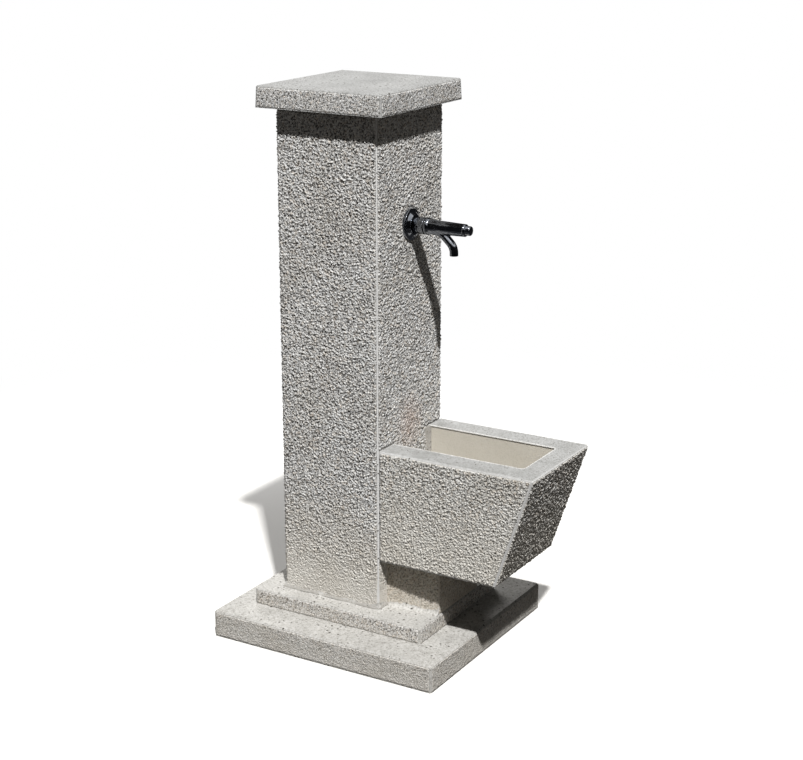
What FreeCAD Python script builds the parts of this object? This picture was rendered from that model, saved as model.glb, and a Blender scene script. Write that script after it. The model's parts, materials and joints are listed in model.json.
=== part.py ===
"""Concrete garden fountain with a push tap, modelled piece by piece.

Millimetres, +Z up. The tap and the basin face -Y. The origin is the centre of the
base slab's underside, so everything above it has a positive Z.
"""
import FreeCAD, Part
import math
import os
import re

import Sketcher

Vector = FreeCAD.Vector
Rotation = FreeCAD.Rotation
Placement = FreeCAD.Placement

doc = FreeCAD.newDocument("Fountain")
sheet = doc.addObject("Spreadsheet::Sheet", "Sizes")

SIZES = {
    # base slab and the step on it
    "slab_width": 415.0,
    "slab_depth": 457.0,
    "slab_height": 50.0,
    "slab_arris": 3.0,
    "plinth_width": 282.0,
    "plinth_depth": 350.0,
    "plinth_height": 30.0,
    "plinth_arris": 2.5,
    "plinth_setback": 7.0,
    # passage for the two pipes, down through the base
    "passage_width": 104.0,
    "passage_depth": 56.0,
    "passage_setback": 3.0,
    # mortar
    "bed_depth": 3.0,
    "bed_recess": 4.0,
    "foot_fillet": 4.0,
    "seal_width": 14.0,
    "seal_reach": 8.0,
    "seal_edge": 1.0,
    # column
    "column_width": 220.0,
    "column_depth": 200.0,
    "column_height": 877.0,
    "column_setback": 35.0,
    "column_arris": 3.0,
    "core_width": 110.0,
    "core_depth": 80.0,
    "core_corner": 10.0,
    # cap
    "cap_width": 274.0,
    "cap_depth": 250.0,
    "cap_height": 37.0,
    "cap_draft": 1.6,
    "cap_arris": 2.0,
    "cap_spigot_height": 12.0,
    "cap_spigot_gap": 2.0,
    # steel dowels
    "dowel_radius": 6.0,
    "dowel_grout": 0.3,
    "dowel_in_column": 90.0,
    "dowel_in_slab": 30.0,
    "dowel_in_basin": 55.0,
    "dowel_in_wall": 50.0,
    "basin_dowel_low": 45.0,
    "basin_dowel_high": 150.0,
    # basin
    "basin_reach": 300.0,
    "basin_foot_reach": 231.0,
    "basin_foot": 173.0,
    "basin_height": 207.0,
    "basin_side_wall": 46.0,
    "basin_front_wall": 40.0,
    "basin_floor": 79.0,
    "basin_corner": 8.0,
    "basin_arris": 2.5,
    # waste and drain
    "waste_reach": 120.0,
    "waste_flange_radius": 31.0,
    "waste_flange_height": 3.0,
    "waste_barrel_radius": 19.0,
    "waste_barrel_length": 33.0,
    "waste_play": 1.0,
    "waste_washer_radius": 28.0,
    "waste_washer_height": 3.0,
    "backnut_flats": 52.0,
    "backnut_height": 8.0,
    "pocket_width": 64.0,
    "pocket_height": 57.0,
    "grate_radius": 22.0,
    "grate_height": 1.5,
    "grate_hole_radius": 2.0,
    "grate_ring_radius": 7.5,
    "grate_rim_radius": 13.5,
    "crossbar_gap": 3.0,
    "crossbar_width": 8.0,
    "crossbar_height": 4.0,
    "screw_radius": 2.4,
    "screw_head_radius": 4.6,
    "screw_head_height": 2.8,
    "screw_play": 0.2,
    "screw_length": 12.0,
    "drain_radius": 16.0,
    "drain_wall": 1.8,
    "drain_height": 193.0,
    "drain_bend": 22.0,
    "drain_hole_play": 1.5,
    "drain_end": 12.0,
    "socket_play": 0.1,
    "socket_wall": 3.0,
    "socket_depth": 15.0,
    "elbow_gap": 2.0,
    "elbow_leg": 21.0,
    # water supply
    "pipe_radius": 7.5,
    "pipe_wall": 1.0,
    "pipe_bend": 45.0,
    "riser_standoff": 22.0,
    "riser_side": 36.0,
    "offset_top": 560.0,
    "offset_bottom": 460.0,
    "coupling_radius": 13.5,
    "coupling_end": 6.0,
    "coupling_length": 36.0,
    "coupling_bore": 9.3,
    "coupling_bore_length": 14.0,
    "coupling_stop": 3.0,
    "coupling_shoulder": 3.0,
    "clip_low": 260.0,
    "clip_high": 400.0,
    "clip_wall": 2.4,
    "clip_width": 14.0,
    "clip_boss_radius": 5.0,
    "stud_radius": 3.0,
    "stud_in_wall": 30.0,
    "plate_width": 54.0,
    "plate_height": 40.0,
    "plate_wall": 5.0,
    "plate_screw_spread": 40.0,
    "plate_screw_length": 38.0,
    "elbow_boss_radius": 14.0,
    "branch_radius": 11.0,
    "branch_drop": 34.0,
    "pipe_socket_depth": 14.0,
    "nut_flats": 27.0,
    "nut_height": 16.0,
    "nut_overlap": 9.0,
    "olive_radius": 9.4,
    "olive_height": 4.0,
    "olive_edge": 0.6,
    # tap: lengths are reaches, measured outwards from the column's front face
    "tap_height": 762.0,
    "tap_hole_radius": 14.5,
    "extension_radius": 13.5,
    "extension_recess": 0.5,
    "extension_tail": 14.0,
    "thread_radius": 10.4,
    "thread_play": 0.05,
    "tail_length": 20.0,
    "waterway": 6.5,
    "wall_washer_radius": 13.4,
    "neck_back": 2.0,
    "neck_front": 31.0,
    "neck_radius": 14.6,
    "spigot_length": 8.0,
    "union_washer_radius": 13.4,
    "union_washer_height": 1.8,
    "rosette_radius": 27.6,
    "rosette_rim": 4.2,
    "rosette_step_radius": 22.6,
    "rosette_step": 6.0,
    "rosette_crown_radius": 17.6,
    "rosette_rise": 10.4,
    "rosette_wall": 1.3,
    "rosette_shoulder": 1.2,
    "rosette_inset": 0.5,
    "rosette_play": 0.2,
    "collar_radius": 15.2,
    "collar_width": 4.4,
    "collar_round": 1.6,
    "cone_back_radius": 14.4,
    "cone_front_radius": 12.0,
    "cone_front": 58.0,
    "barrel_radius": 10.9,
    "barrel_front": 106.0,
    "barrel_bore": 9.4,
    "chamber_radius": 9.0,
    "seat_back": 52.0,
    "seat_thickness": 3.0,
    "seat_lip": 0.8,
    "seat_lip_radius": 6.2,
    "seat_clear": 8.0,
    "orifice_radius": 4.8,
    "spout_root": 53.0,
    "spout_sink": 6.5,
    "spout_sweep": 32.4,
    "spout_angle": 43.0,
    "spout_reach": 86.6,
    "spout_bend": 24.0,
    "spout_lip": 4.5,
    "spout_radius": 7.4,
    "spout_bore": 5.3,
    "spout_crotch": 1.8,
    "edge_round": 0.6,
    # push button and valve
    "button_radius": 8.2,
    "button_front": 119.5,
    "button_length": 23.6,
    "button_wall": 1.3,
    "button_end_wall": 4.6,
    "button_round": 1.6,
    "flange_radius": 9.1,
    "flange_height": 2.0,
    "running_gap": 0.08,
    "rest_gap": 0.3,
    "travel": 6.0,
    "ring_cap_height": 4.5,
    "ring_cap_chamfer": 1.5,
    "bush_slip": 0.05,
    "stem_radius": 2.5,
    "stem_tip_radius": 2.0,
    "stem_tip": 3.0,
    "disc_radius": 7.2,
    "disc_height": 3.0,
    "seal_height": 1.6,
    "seal_gap": 0.1,
    "guide_back": 72.0,
    "guide_height": 7.0,
    "o_ring_wire": 0.85,
    "o_ring_play": 0.05,
    "spring_wire": 0.6,
    "spring_radius": 5.6,
    "spring_turns": 5.0,
    "spring_end_gap": 0.1,
}

for row, (alias, value) in enumerate(SIZES.items(), start=1):
    sheet.set(f"A{row}", alias.replace("_", " "))
    sheet.set(f"B{row}", str(value))
    sheet.setAlias(f"B{row}", alias)
doc.recompute()


def cells(text):
    """The expression with each alias written as a reference to its cell."""
    return re.sub(r"[a-z][a-z_]*", lambda word: f"Sizes.{word[0]}" if word[0] in SIZES else word[0], text)


def number(text):
    """What an expression comes to now, in millimetres or degrees."""
    value = sheet.evalExpression(cells(text))
    return float(getattr(value, "Value", value))


def bind(thing, **expressions):
    """Ties properties to expressions; a double underscore stands for a dot."""
    for name, text in expressions.items():
        thing.setExpression(name.replace("__", "."), cells(text))
    return thing


# Places that several pieces share, as expressions
COLUMN_FACE = "(column_setback - column_depth / 2)"
CORE_FACE = "(column_setback - core_depth / 2)"
COLUMN_FOOT = "(slab_height + plinth_height + bed_depth)"
COLUMN_TOP = f"({COLUMN_FOOT} + column_height)"
PIPE_ROW = "(column_setback + passage_setback)"
RISER_ROW = f"({CORE_FACE} + riser_standoff)"
WASTE_ROW = f"({COLUMN_FACE} - waste_reach)"
BASIN_BACK = f"({COLUMN_FACE} - bed_depth)"
BASIN_FLOOR = "(basin_foot + basin_floor)"
POCKET_TOP = "(basin_foot + pocket_height)"
BASIN_HALF_INSIDE = "(column_width / 2 - basin_side_wall)"
FRONT_SLOPE = "((basin_reach - basin_foot_reach) / basin_height)"
CORE_WALL = "((column_depth - core_depth) / 2)"
SIDE_WALL_MIDDLE = "((column_width + core_width) / 4)"
FRONT_WALL_MIDDLE = "((column_depth + core_depth) / 4)"
RIM_WALL_MIDDLE = "((column_width - basin_side_wall) / 2)"
DOWEL_HOLE = "(dowel_radius + dowel_grout)"
BODY_BACK = "(neck_front + union_washer_height)"
SEAT_FRONT = "(seat_back + seat_thickness)"
BUTTON_BACK = "(button_front - button_length)"
BUTTON_HOLLOW = "(button_front - button_end_wall)"
GUIDE_FRONT = "(guide_back + guide_height)"
GUIDE_GROOVE = "(stem_radius + running_gap + 2 * o_ring_wire + o_ring_play)"
BRANCH_ROW = f"(-{CORE_WALL} - riser_standoff)"
WASTE_BORE = "(drain_radius + socket_play)"

subparts = []


def keep(thing, label):
    """Names a finished sub-part and marks it for export."""
    thing.Label = label
    subparts.append(thing)
    return thing


def new_body(label, x="0", y="0", z="0"):
    body = doc.addObject("PartDesign::Body", label)
    keep(body, label)
    return bind(body, Placement__Base__x=x, Placement__Base__y=y, Placement__Base__z=z)


def new_tap_body(label):
    """A body whose own origin is on the tap's axis, at the column's front face."""
    return new_body(label, y=COLUMN_FACE, z="tap_height")


def sketch_on(body, role, offset="0"):
    """An empty sketch on one of the body's origin planes, moved along the plane's normal."""
    sketch = body.newObject("Sketcher::SketchObject", f"{body.Name}_sketch")
    plane = next(item for item in body.Origin.OriginFeatures if item.Role == role)
    sketch.AttachmentSupport = (plane, [""])
    sketch.MapMode = "FlatFace"
    return bind(sketch, AttachmentOffset__Base__z=offset)


def fix_point(sketch, geometry, end, x, y):
    """Holds one end of a sketch element at a place given by two expressions."""
    for kind, axis, text in (("DistanceX", -2, x), ("DistanceY", -1, y)):
        if text == "0":
            sketch.addConstraint(Sketcher.Constraint("PointOnObject", geometry, end, axis))
            continue
        rule = Sketcher.Constraint(kind, -1, 1, geometry, end, number(text))
        index = sketch.addConstraint(rule)
        sketch.setExpression(f"Constraints[{index}]", cells(text))


def outline(sketch, corners):
    """A closed outline of straight lines through corners given as expressions."""
    points = [Vector(number(x), number(y), 0) for x, y in corners]
    first = sketch.GeometryCount
    count = len(corners)
    for i in range(count):
        sketch.addGeometry(Part.LineSegment(points[i], points[(i + 1) % count]), False)
    for i in range(count):
        following = first + (i + 1) % count
        sketch.addConstraint(Sketcher.Constraint("Coincident", first + i, 2, following, 1))
    for i, (x, y) in enumerate(corners):
        fix_point(sketch, first + i, 1, x, y)
    return sketch


def rectangle(sketch, width, depth, x="0", y="0"):
    half_width, half_depth = f"({width}) / 2", f"({depth}) / 2"
    left, right = f"{x} - {half_width}", f"{x} + {half_width}"
    near, far = f"{y} - {half_depth}", f"{y} + {half_depth}"
    return outline(sketch, [(left, near), (right, near), (right, far), (left, far)])


def circle(sketch, radius, x="0", y="0"):
    centre = Vector(number(x), number(y), 0)
    index = sketch.addGeometry(Part.Circle(centre, Vector(0, 0, 1), number(radius)), False)
    fix_point(sketch, index, 3, x, y)
    rule = sketch.addConstraint(Sketcher.Constraint("Radius", index, number(radius)))
    sketch.setExpression(f"Constraints[{rule}]", cells(radius))
    return sketch


def route(sketch, points, bends):
    """A line of straight runs and tangent arcs: bends gives each arc's radius by its run."""
    places = [Vector(number(x), number(y), 0) for x, y in points]
    elements = []
    for i in range(len(points) - 1):
        start, end = places[i], places[i + 1]
        if i not in bends:
            index = sketch.addGeometry(Part.LineSegment(start, end), False)
            elements.append((index, 1, 2))
            continue
        radius = number(bends[i])
        heading = (places[i] - places[i - 1]).normalize()
        chord = end - start
        side = 1 if heading.cross(chord).z > 0 else -1
        centre = start + Vector(-heading.y, heading.x, 0) * radius * side
        angles = [math.atan2(p.y - centre.y, p.x - centre.x) for p in (start, end)]
        if side < 0:
            angles.reverse()
        arc = Part.ArcOfCircle(Part.Circle(centre, Vector(0, 0, 1), radius), *angles)
        index = sketch.addGeometry(arc, False)
        elements.append((index, 1, 2) if side > 0 else (index, 2, 1))
        rule = sketch.addConstraint(Sketcher.Constraint("Radius", index, radius))
        sketch.setExpression(f"Constraints[{rule}]", cells(bends[i]))
    for before, after in zip(elements, elements[1:]):
        sketch.addConstraint(Sketcher.Constraint("Coincident", before[0], before[2], after[0], after[1]))
    for (index, start_end, far_end), place in zip(elements, points):
        fix_point(sketch, index, start_end, *place)
    fix_point(sketch, elements[-1][0], elements[-1][2], *points[-1])
    return sketch


def pad(body, sketch, length, both_ways=False, reverse=False):
    feature = body.newObject("PartDesign::Pad", f"{body.Name}_pad")
    feature.Profile = sketch
    feature.Midplane = both_ways
    feature.Reversed = reverse
    return bind(feature, Length=length)


def cut(body, sketch, length, both_ways=False, reverse=False):
    """A pocket against the sketch's normal, or along it when reversed."""
    feature = body.newObject("PartDesign::Pocket", f"{body.Name}_cut")
    feature.Profile = sketch
    feature.Midplane = both_ways
    feature.Reversed = reverse
    return bind(feature, Length=length)


def turn(body, sketch, kind="Revolution"):
    """Turns a sketch about its own upright axis."""
    feature = body.newObject(f"PartDesign::{kind}", f"{body.Name}_turn")
    feature.Profile = sketch
    feature.ReferenceAxis = (sketch, ["V_Axis"])
    feature.Angle = 360
    return feature


def sweep(body, spine, radius, kind="AdditivePipe"):
    """A round bar, or bore, along the whole of a spine sketch."""
    doc.recompute()
    section = body.newObject("Sketcher::SketchObject", f"{body.Name}_section")
    section.AttachmentSupport = [(spine, "Edge1"), (spine, "Vertex1")]
    section.MapMode = "NormalToEdge"
    circle(section, radius)
    feature = body.newObject(f"PartDesign::{kind}", f"{body.Name}_sweep")
    feature.Profile = section
    edges = [f"Edge{i + 1}" for i in range(len(spine.Shape.Edges))]
    feature.Spine = (spine, edges)
    return feature


def edges_of(feature, chosen):
    """Names of a feature's edges that pass a test."""
    doc.recompute()
    return [f"Edge{i}" for i, edge in enumerate(feature.Shape.Edges, start=1) if chosen(edge)]


def dress(body, kind, feature, size, chosen):
    """A Fillet or a Chamfer on the chosen edges."""
    names = edges_of(feature, chosen)
    dressed = body.newObject(f"PartDesign::{kind}", f"{body.Name}_{kind.lower()}")
    dressed.Base = (feature, names)
    return bind(dressed, **{"Radius" if kind == "Fillet" else "Size": size})


TOLERANCE = 0.01


def near(value, target):
    return abs(value - target) < TOLERANCE


def is_upright(edge):
    """A straight edge that runs along Z."""
    ends = [vertex.Point for vertex in edge.Vertexes]
    return len(ends) == 2 and near(abs((ends[1] - ends[0]).normalize().z), 1.0)


def lies_at_height(height):
    """A test for edges that lie level at one height of their own body."""
    level = number(height)
    return lambda edge: near(edge.BoundBox.ZMin, level) and near(edge.BoundBox.ZMax, level)


def turned(label, profile, upright=False, **place):
    """A turned piece: its profile is a list of (radius, distance along the axis)."""
    if upright:
        body = new_body(label, **place)
        return body, turn(body, outline(sketch_on(body, "XZ_Plane"), profile))
    body = new_tap_body(label)
    corners = [(radius, f"-({reach})") for radius, reach in profile]
    return body, turn(body, outline(sketch_on(body, "XY_Plane"), corners))


def rim_at(radius, reach):
    """A test for the round edge of one radius at one reach along the tap's axis."""
    size, place = number(radius), -number(reach)

    def chosen(edge):
        box = edge.BoundBox
        flat = near(box.YMin, place) and near(box.YMax, place)
        return flat and near(box.XMax, size)

    return chosen


def rods(label, radius, length, places, axis=Vector(0, 0, 1)):
    """A set of alike round bars, each a solid of its own, starting at their places."""
    bars = []
    for x, y, z in places:
        bar = doc.addObject("Part::Cylinder", f"{label}_bar")
        bar.Placement = Placement(Vector(), Rotation(Vector(0, 0, 1), axis))
        bind(bar, Radius=radius, Height=length)
        bind(bar, Placement__Base__x=x, Placement__Base__y=y, Placement__Base__z=z)
        bars.append(bar)
    group = doc.addObject("Part::Compound", label)
    group.Links = bars
    return keep(group, label)


def base_slab():
    body = new_body("base_slab")
    block = pad(body, rectangle(sketch_on(body, "XY_Plane"), "slab_width", "slab_depth"), "slab_height")
    top = lies_at_height("slab_height")
    arris = dress(body, "Chamfer", block, "slab_arris", lambda edge: top(edge) or is_upright(edge))
    pipes = rectangle(sketch_on(body, "XY_Plane"), "passage_width", "passage_depth", y=PIPE_ROW)
    cut(body, pipes, "slab_height", reverse=True)
    dowels = sketch_on(body, "XY_Plane", "slab_height")
    for x, y in dowel_places():
        circle(dowels, DOWEL_HOLE, x, y)
    cut(body, dowels, "dowel_in_slab")
    return arris


def dowel_places():
    """Plan of the four dowels that stand the column on its base."""
    return [(f"{i} * {SIDE_WALL_MIDDLE}", f"column_setback + {j} * {FRONT_WALL_MIDDLE}")
            for i in (-1, 1) for j in (-1, 1)]


def plinth_step():
    body = new_body("plinth_step", z="slab_height")
    plan = rectangle(sketch_on(body, "XY_Plane"), "plinth_width", "plinth_depth", y="plinth_setback")
    block = pad(body, plan, "plinth_height")
    top = lies_at_height("plinth_height")
    dress(body, "Chamfer", block, "plinth_arris", lambda edge: top(edge) or is_upright(edge))
    pipes = rectangle(sketch_on(body, "XY_Plane"), "passage_width", "passage_depth", y=PIPE_ROW)
    cut(body, pipes, "plinth_height", reverse=True)
    dowels = sketch_on(body, "XY_Plane")
    for x, y in dowel_places():
        circle(dowels, DOWEL_HOLE, x, y)
    cut(body, dowels, "plinth_height", reverse=True)


def foot_mortar():
    """The bed under the column, squeezed out into a small fillet round its foot."""
    body = new_body("foot_mortar", y="column_setback", z="slab_height + plinth_height")
    plan = rectangle(sketch_on(body, "XY_Plane"), "column_width + 2 * foot_fillet",
                     "column_depth + 2 * foot_fillet")
    block = pad(body, plan, "bed_depth + foot_fillet")
    top = lies_at_height("bed_depth + foot_fillet")
    dress(body, "Chamfer", block, "foot_fillet * 0.9", top)
    footprint = rectangle(sketch_on(body, "XY_Plane", "bed_depth"), "column_width", "column_depth")
    cut(body, footprint, "foot_fillet", reverse=True)
    window = rectangle(sketch_on(body, "XY_Plane"), "core_width", "core_depth")
    cut(body, window, "bed_depth", reverse=True)
    dowels = sketch_on(body, "XY_Plane")
    for i in (-1, 1):
        for j in (-1, 1):
            circle(dowels, DOWEL_HOLE, f"{i} * {SIDE_WALL_MIDDLE}", f"{j} * {FRONT_WALL_MIDDLE}")
    cut(body, dowels, "bed_depth", reverse=True)


def column():
    """Hollow precast shaft with its arrises, pipe core and drillings."""
    body = new_body("column", y="column_setback", z=COLUMN_FOOT)
    plan = rectangle(sketch_on(body, "XY_Plane"), "column_width", "column_depth")
    shaft = pad(body, plan, "column_height")
    dress(body, "Chamfer", shaft, "column_arris", is_upright)
    core = rectangle(sketch_on(body, "XY_Plane"), "core_width", "core_depth")
    hollow = cut(body, core, "column_height", reverse=True)
    half_width, half_depth = number("core_width / 2"), number("core_depth / 2")
    core_corner = lambda edge: (is_upright(edge) and near(abs(edge.BoundBox.XMin), half_width)
                                and near(abs(edge.BoundBox.YMin), half_depth))
    dress(body, "Fillet", hollow, "core_corner", core_corner)

    stand = sketch_on(body, "XY_Plane")
    for i in (-1, 1):
        for j in (-1, 1):
            circle(stand, DOWEL_HOLE, f"{i} * {SIDE_WALL_MIDDLE}", f"{j} * {FRONT_WALL_MIDDLE}")
    cut(body, stand, "dowel_in_column", reverse=True)

    front = sketch_on(body, "XZ_Plane", "column_depth / 2")
    circle(front, "tap_hole_radius", "0", f"tap_height - {COLUMN_FOOT}")
    circle(front, "drain_radius + drain_hole_play", "0", f"drain_height - {COLUMN_FOOT}")
    cut(body, front, CORE_WALL)
    pins = sketch_on(body, "XZ_Plane", "column_depth / 2")
    for x, z in basin_dowel_places():
        circle(pins, DOWEL_HOLE, x, f"{z} - {COLUMN_FOOT}")
    cut(body, pins, "dowel_in_wall")

    inside = sketch_on(body, "XZ_Plane", "core_depth / 2")
    for i in (-1, 1):
        circle(inside, "screw_radius + screw_play", f"{i} * plate_screw_spread / 2",
               f"tap_height - {COLUMN_FOOT}")
    cut(body, inside, "plate_screw_length", reverse=True)
    side = sketch_on(body, "YZ_Plane", "-core_width / 2")
    for height in ("clip_low", "clip_high"):
        circle(side, "stud_radius + screw_play", "passage_setback", f"{height} - {COLUMN_FOOT}")
    cut(body, side, "stud_in_wall")


def basin_dowel_places():
    """Front view of the four dowels that pin the basin to the column."""
    return [(f"{i} * {RIM_WALL_MIDDLE}", f"(basin_foot + {height})")
            for i in (-1, 1) for height in ("basin_dowel_low", "basin_dowel_high")]


def cap_mortar():
    body = new_body("cap_mortar", y="column_setback", z=COLUMN_TOP)
    plan = sketch_on(body, "XY_Plane")
    rectangle(plan, "column_width - 2 * bed_recess", "column_depth - 2 * bed_recess")
    rectangle(plan, "core_width", "core_depth")
    pad(body, plan, "bed_depth")


def column_cap():
    """Flat slab with drafted sides and a spigot that drops into the column's core."""
    body = new_body("column_cap", y="column_setback", z=f"{COLUMN_TOP} + bed_depth")
    lower = rectangle(sketch_on(body, "XY_Plane"), "cap_width", "cap_depth")
    upper = rectangle(sketch_on(body, "XY_Plane", "cap_height"), "cap_width - 2 * cap_draft",
                      "cap_depth - 2 * cap_draft")
    slab = body.newObject("PartDesign::AdditiveLoft", "column_cap_loft")
    slab.Profile = lower
    slab.Sections = [upper]
    slab.Ruled = True
    level = lies_at_height("0")
    dress(body, "Chamfer", slab, "cap_arris", lambda edge: not level(edge))
    spigot = sketch_on(body, "XY_Plane")
    rectangle(spigot, "core_width - 2 * cap_spigot_gap", "core_depth - 2 * cap_spigot_gap")
    drop = pad(body, spigot, "bed_depth + cap_spigot_height", reverse=True)
    corner = lambda edge: is_upright(edge) and near(edge.BoundBox.ZMax, 0)
    dress(body, "Fillet", drop, "core_corner", corner)


def basin():
    """Three-sided trough: the column's own face is its back wall."""
    body = new_body("basin", y=BASIN_BACK, z="basin_foot")
    length, foot = "basin_reach - bed_depth", "basin_foot_reach - bed_depth"
    side_view = outline(sketch_on(body, "YZ_Plane"),
                        [("0", "0"), (f"-({foot})", "0"), (f"-({length})", "basin_height"),
                         ("0", "basin_height")])
    block = pad(body, side_view, "column_width", both_ways=True)
    back = number("0")
    behind = lambda edge: near(edge.BoundBox.YMin, back) and near(edge.BoundBox.YMax, back)
    dress(body, "Chamfer", block, "basin_arris", lambda edge: not behind(edge))

    wall_at = lambda height: f"-({foot} + {FRONT_SLOPE} * ({height}) - basin_front_wall)"
    hollow_view = outline(sketch_on(body, "YZ_Plane"),
                          [("0", "basin_floor"), (wall_at("basin_floor"), "basin_floor"),
                           (wall_at("basin_height"), "basin_height"), ("0", "basin_height")])
    hollow = cut(body, hollow_view, f"2 * {BASIN_HALF_INSIDE}", both_ways=True)
    floor, half = number("basin_floor"), number(BASIN_HALF_INSIDE)
    front = number(wall_at("basin_floor"))

    def inner_corner(edge):
        box = edge.BoundBox
        at_floor = near(box.ZMin, floor) and near(box.ZMax, floor) and not behind(edge)
        at_side = near(abs(box.XMin), half) and near(box.XMin, box.XMax) and box.YMax < front + TOLERANCE
        return at_floor or at_side

    dress(body, "Fillet", hollow, "basin_corner", inner_corner)

    pocket = sketch_on(body, "XZ_Plane")
    rectangle(pocket, "pocket_width", "pocket_height", y="pocket_height / 2")
    cut(body, pocket, "waste_reach - bed_depth + pocket_width / 2", reverse=True)
    centre = "-(waste_reach - bed_depth)"
    drilling = circle(sketch_on(body, "XY_Plane", "basin_floor"), "waste_barrel_radius + waste_play",
                      y=centre)
    cut(body, drilling, "basin_floor - pocket_height")
    rebate = circle(sketch_on(body, "XY_Plane", "basin_floor"), "waste_flange_radius + waste_play",
                    y=centre)
    cut(body, rebate, "waste_flange_height")
    pins = sketch_on(body, "XZ_Plane")
    for x, z in basin_dowel_places():
        circle(pins, DOWEL_HOLE, x, f"{z} - basin_foot")
    cut(body, pins, "dowel_in_basin", reverse=True)


def basin_mortar():
    """The thin bed between the basin's back edges and the column, set in at the joint."""
    body = new_body("basin_mortar", y=COLUMN_FACE, z="basin_foot")
    right, top = "column_width / 2 - bed_recess", "basin_height - basin_arris"
    inside, slot = BASIN_HALF_INSIDE, "pocket_width / 2"
    half = [(slot, "bed_recess"), (right, "bed_recess"), (right, top), (inside, top),
            (inside, "basin_floor")]
    mirrored = [(f"-({x})", z) for x, z in reversed(half)]
    plan = outline(sketch_on(body, "XZ_Plane"),
                   half + mirrored + [(f"-({slot})", "pocket_height"), (slot, "pocket_height")])
    pad(body, plan, "bed_depth")
    pins = sketch_on(body, "XZ_Plane")
    for x, z in basin_dowel_places():
        circle(pins, DOWEL_HOLE, x, f"{z} - basin_foot")
    cut(body, pins, "bed_depth", reverse=True)


def basin_seal():
    """Mortar fillet in the inner corners, where the trough meets the column's face."""
    body = new_body("basin_seal", y=COLUMN_FACE, z=BASIN_FLOOR)
    top = "basin_height - basin_floor - basin_arris"
    inner = f"{BASIN_HALF_INSIDE} - seal_width"
    plan = outline(sketch_on(body, "XZ_Plane"),
                   [(f"-{BASIN_HALF_INSIDE}", "0"), (BASIN_HALF_INSIDE, "0"), (BASIN_HALF_INSIDE, top),
                    (inner, top), (inner, "seal_width"), (f"-({inner})", "seal_width"),
                    (f"-({inner})", top), (f"-{BASIN_HALF_INSIDE}", top)])
    band = pad(body, plan, "seal_reach")
    reach, half = -number("seal_reach"), number(inner)
    lip = number("seal_width")

    def inner_front(edge):
        box = edge.BoundBox
        in_front = near(box.YMin, reach) and near(box.YMax, reach)
        upright = near(box.XMin, box.XMax) and near(abs(box.XMin), half)
        level = near(box.ZMin, lip) and near(box.ZMax, lip)
        return in_front and (upright or level)

    names = edges_of(band, inner_front)
    slope = body.newObject("PartDesign::Chamfer", "basin_seal_slope")
    slope.Base = (band, names)
    slope.ChamferType = "Two distances"
    bind(slope, Size="seal_reach - seal_edge", Size2="seal_width - seal_edge")
    corners = sketch_on(body, "XZ_Plane")
    middle = "basin_corner * (1 - sqrt(0.5))"
    for i in (-1, 1):
        outline(corners, [(f"{i} * {BASIN_HALF_INSIDE}", "0"),
                          (f"{i} * ({BASIN_HALF_INSIDE} - basin_corner)", "0"),
                          (f"{i} * ({BASIN_HALF_INSIDE} - {middle})", middle),
                          (f"{i} * {BASIN_HALF_INSIDE}", "basin_corner")])
    cut(body, corners, "seal_reach", reverse=True)


def waste_body():
    """Flanged waste: threaded barrel, rebate for the grate and a bar for its screw."""
    bore, recess = WASTE_BORE, "grate_radius + socket_play"
    body, barrel = turned("waste_body", [
        (bore, "-waste_barrel_length"), ("waste_barrel_radius", "-waste_barrel_length"),
        ("waste_barrel_radius", "-waste_flange_height"),
        ("waste_flange_radius", "-waste_flange_height"), ("waste_flange_radius", "0"),
        (recess, "0"), (recess, "-grate_height"), (bore, "-grate_height")],
        upright=True, y=WASTE_ROW, z=BASIN_FLOOR)
    bar = sketch_on(body, "XY_Plane", "-grate_height - crossbar_gap")
    rectangle(bar, f"2 * {bore} + 1", "crossbar_width")
    pad(body, bar, "crossbar_height", reverse=True)
    tapping = circle(sketch_on(body, "XY_Plane", "-grate_height"), "screw_radius + thread_play")
    cut(body, tapping, "crossbar_gap + crossbar_height")


def strainer_grate():
    body, disc = turned("strainer_grate", [
        ("screw_radius + screw_play", "-grate_height"), ("grate_radius", "-grate_height"),
        ("grate_radius", "0"), ("screw_radius + screw_play", "0")],
        upright=True, y=WASTE_ROW, z=BASIN_FLOOR)
    patterns = []
    for radius, count in (("grate_ring_radius", 6), ("grate_rim_radius", 12)):
        hole = circle(sketch_on(body, "XY_Plane"), "grate_hole_radius", x=radius)
        drilled = cut(body, hole, "grate_height")
        doc.recompute()
        ring = body.newObject("PartDesign::PolarPattern", "strainer_grate_ring")
        ring.Originals = [drilled]
        axis = next(item for item in body.Origin.OriginFeatures if item.Role == "Z_Axis")
        ring.Axis = (axis, [""])
        ring.Angle = 360
        ring.Occurrences = count
        body.Tip = ring
        patterns.append(ring)
    return patterns


def strainer_screw():
    head = "screw_head_height"
    turned("strainer_screw", [
        ("0", "-screw_length"), ("screw_radius", "-screw_length"), ("screw_radius", "0"),
        ("screw_head_radius", "0"), ("screw_head_radius", f"{head} * 0.5"),
        ("screw_head_radius * 0.7", head), ("0", head)],
        upright=True, y=WASTE_ROW, z=BASIN_FLOOR)


def waste_washer():
    turned("waste_washer", [
        ("waste_barrel_radius + socket_play", "-waste_washer_height"),
        ("waste_washer_radius", "-waste_washer_height"), ("waste_washer_radius", "0"),
        ("waste_barrel_radius + socket_play", "0")],
        upright=True, y=WASTE_ROW, z=POCKET_TOP)


def hexagon(sketch, flats):
    corners = [(f"({flats}) / sqrt(3) * cos({60 * i})", f"({flats}) / sqrt(3) * sin({60 * i})")
               for i in range(6)]
    return outline(sketch, corners)


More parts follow.
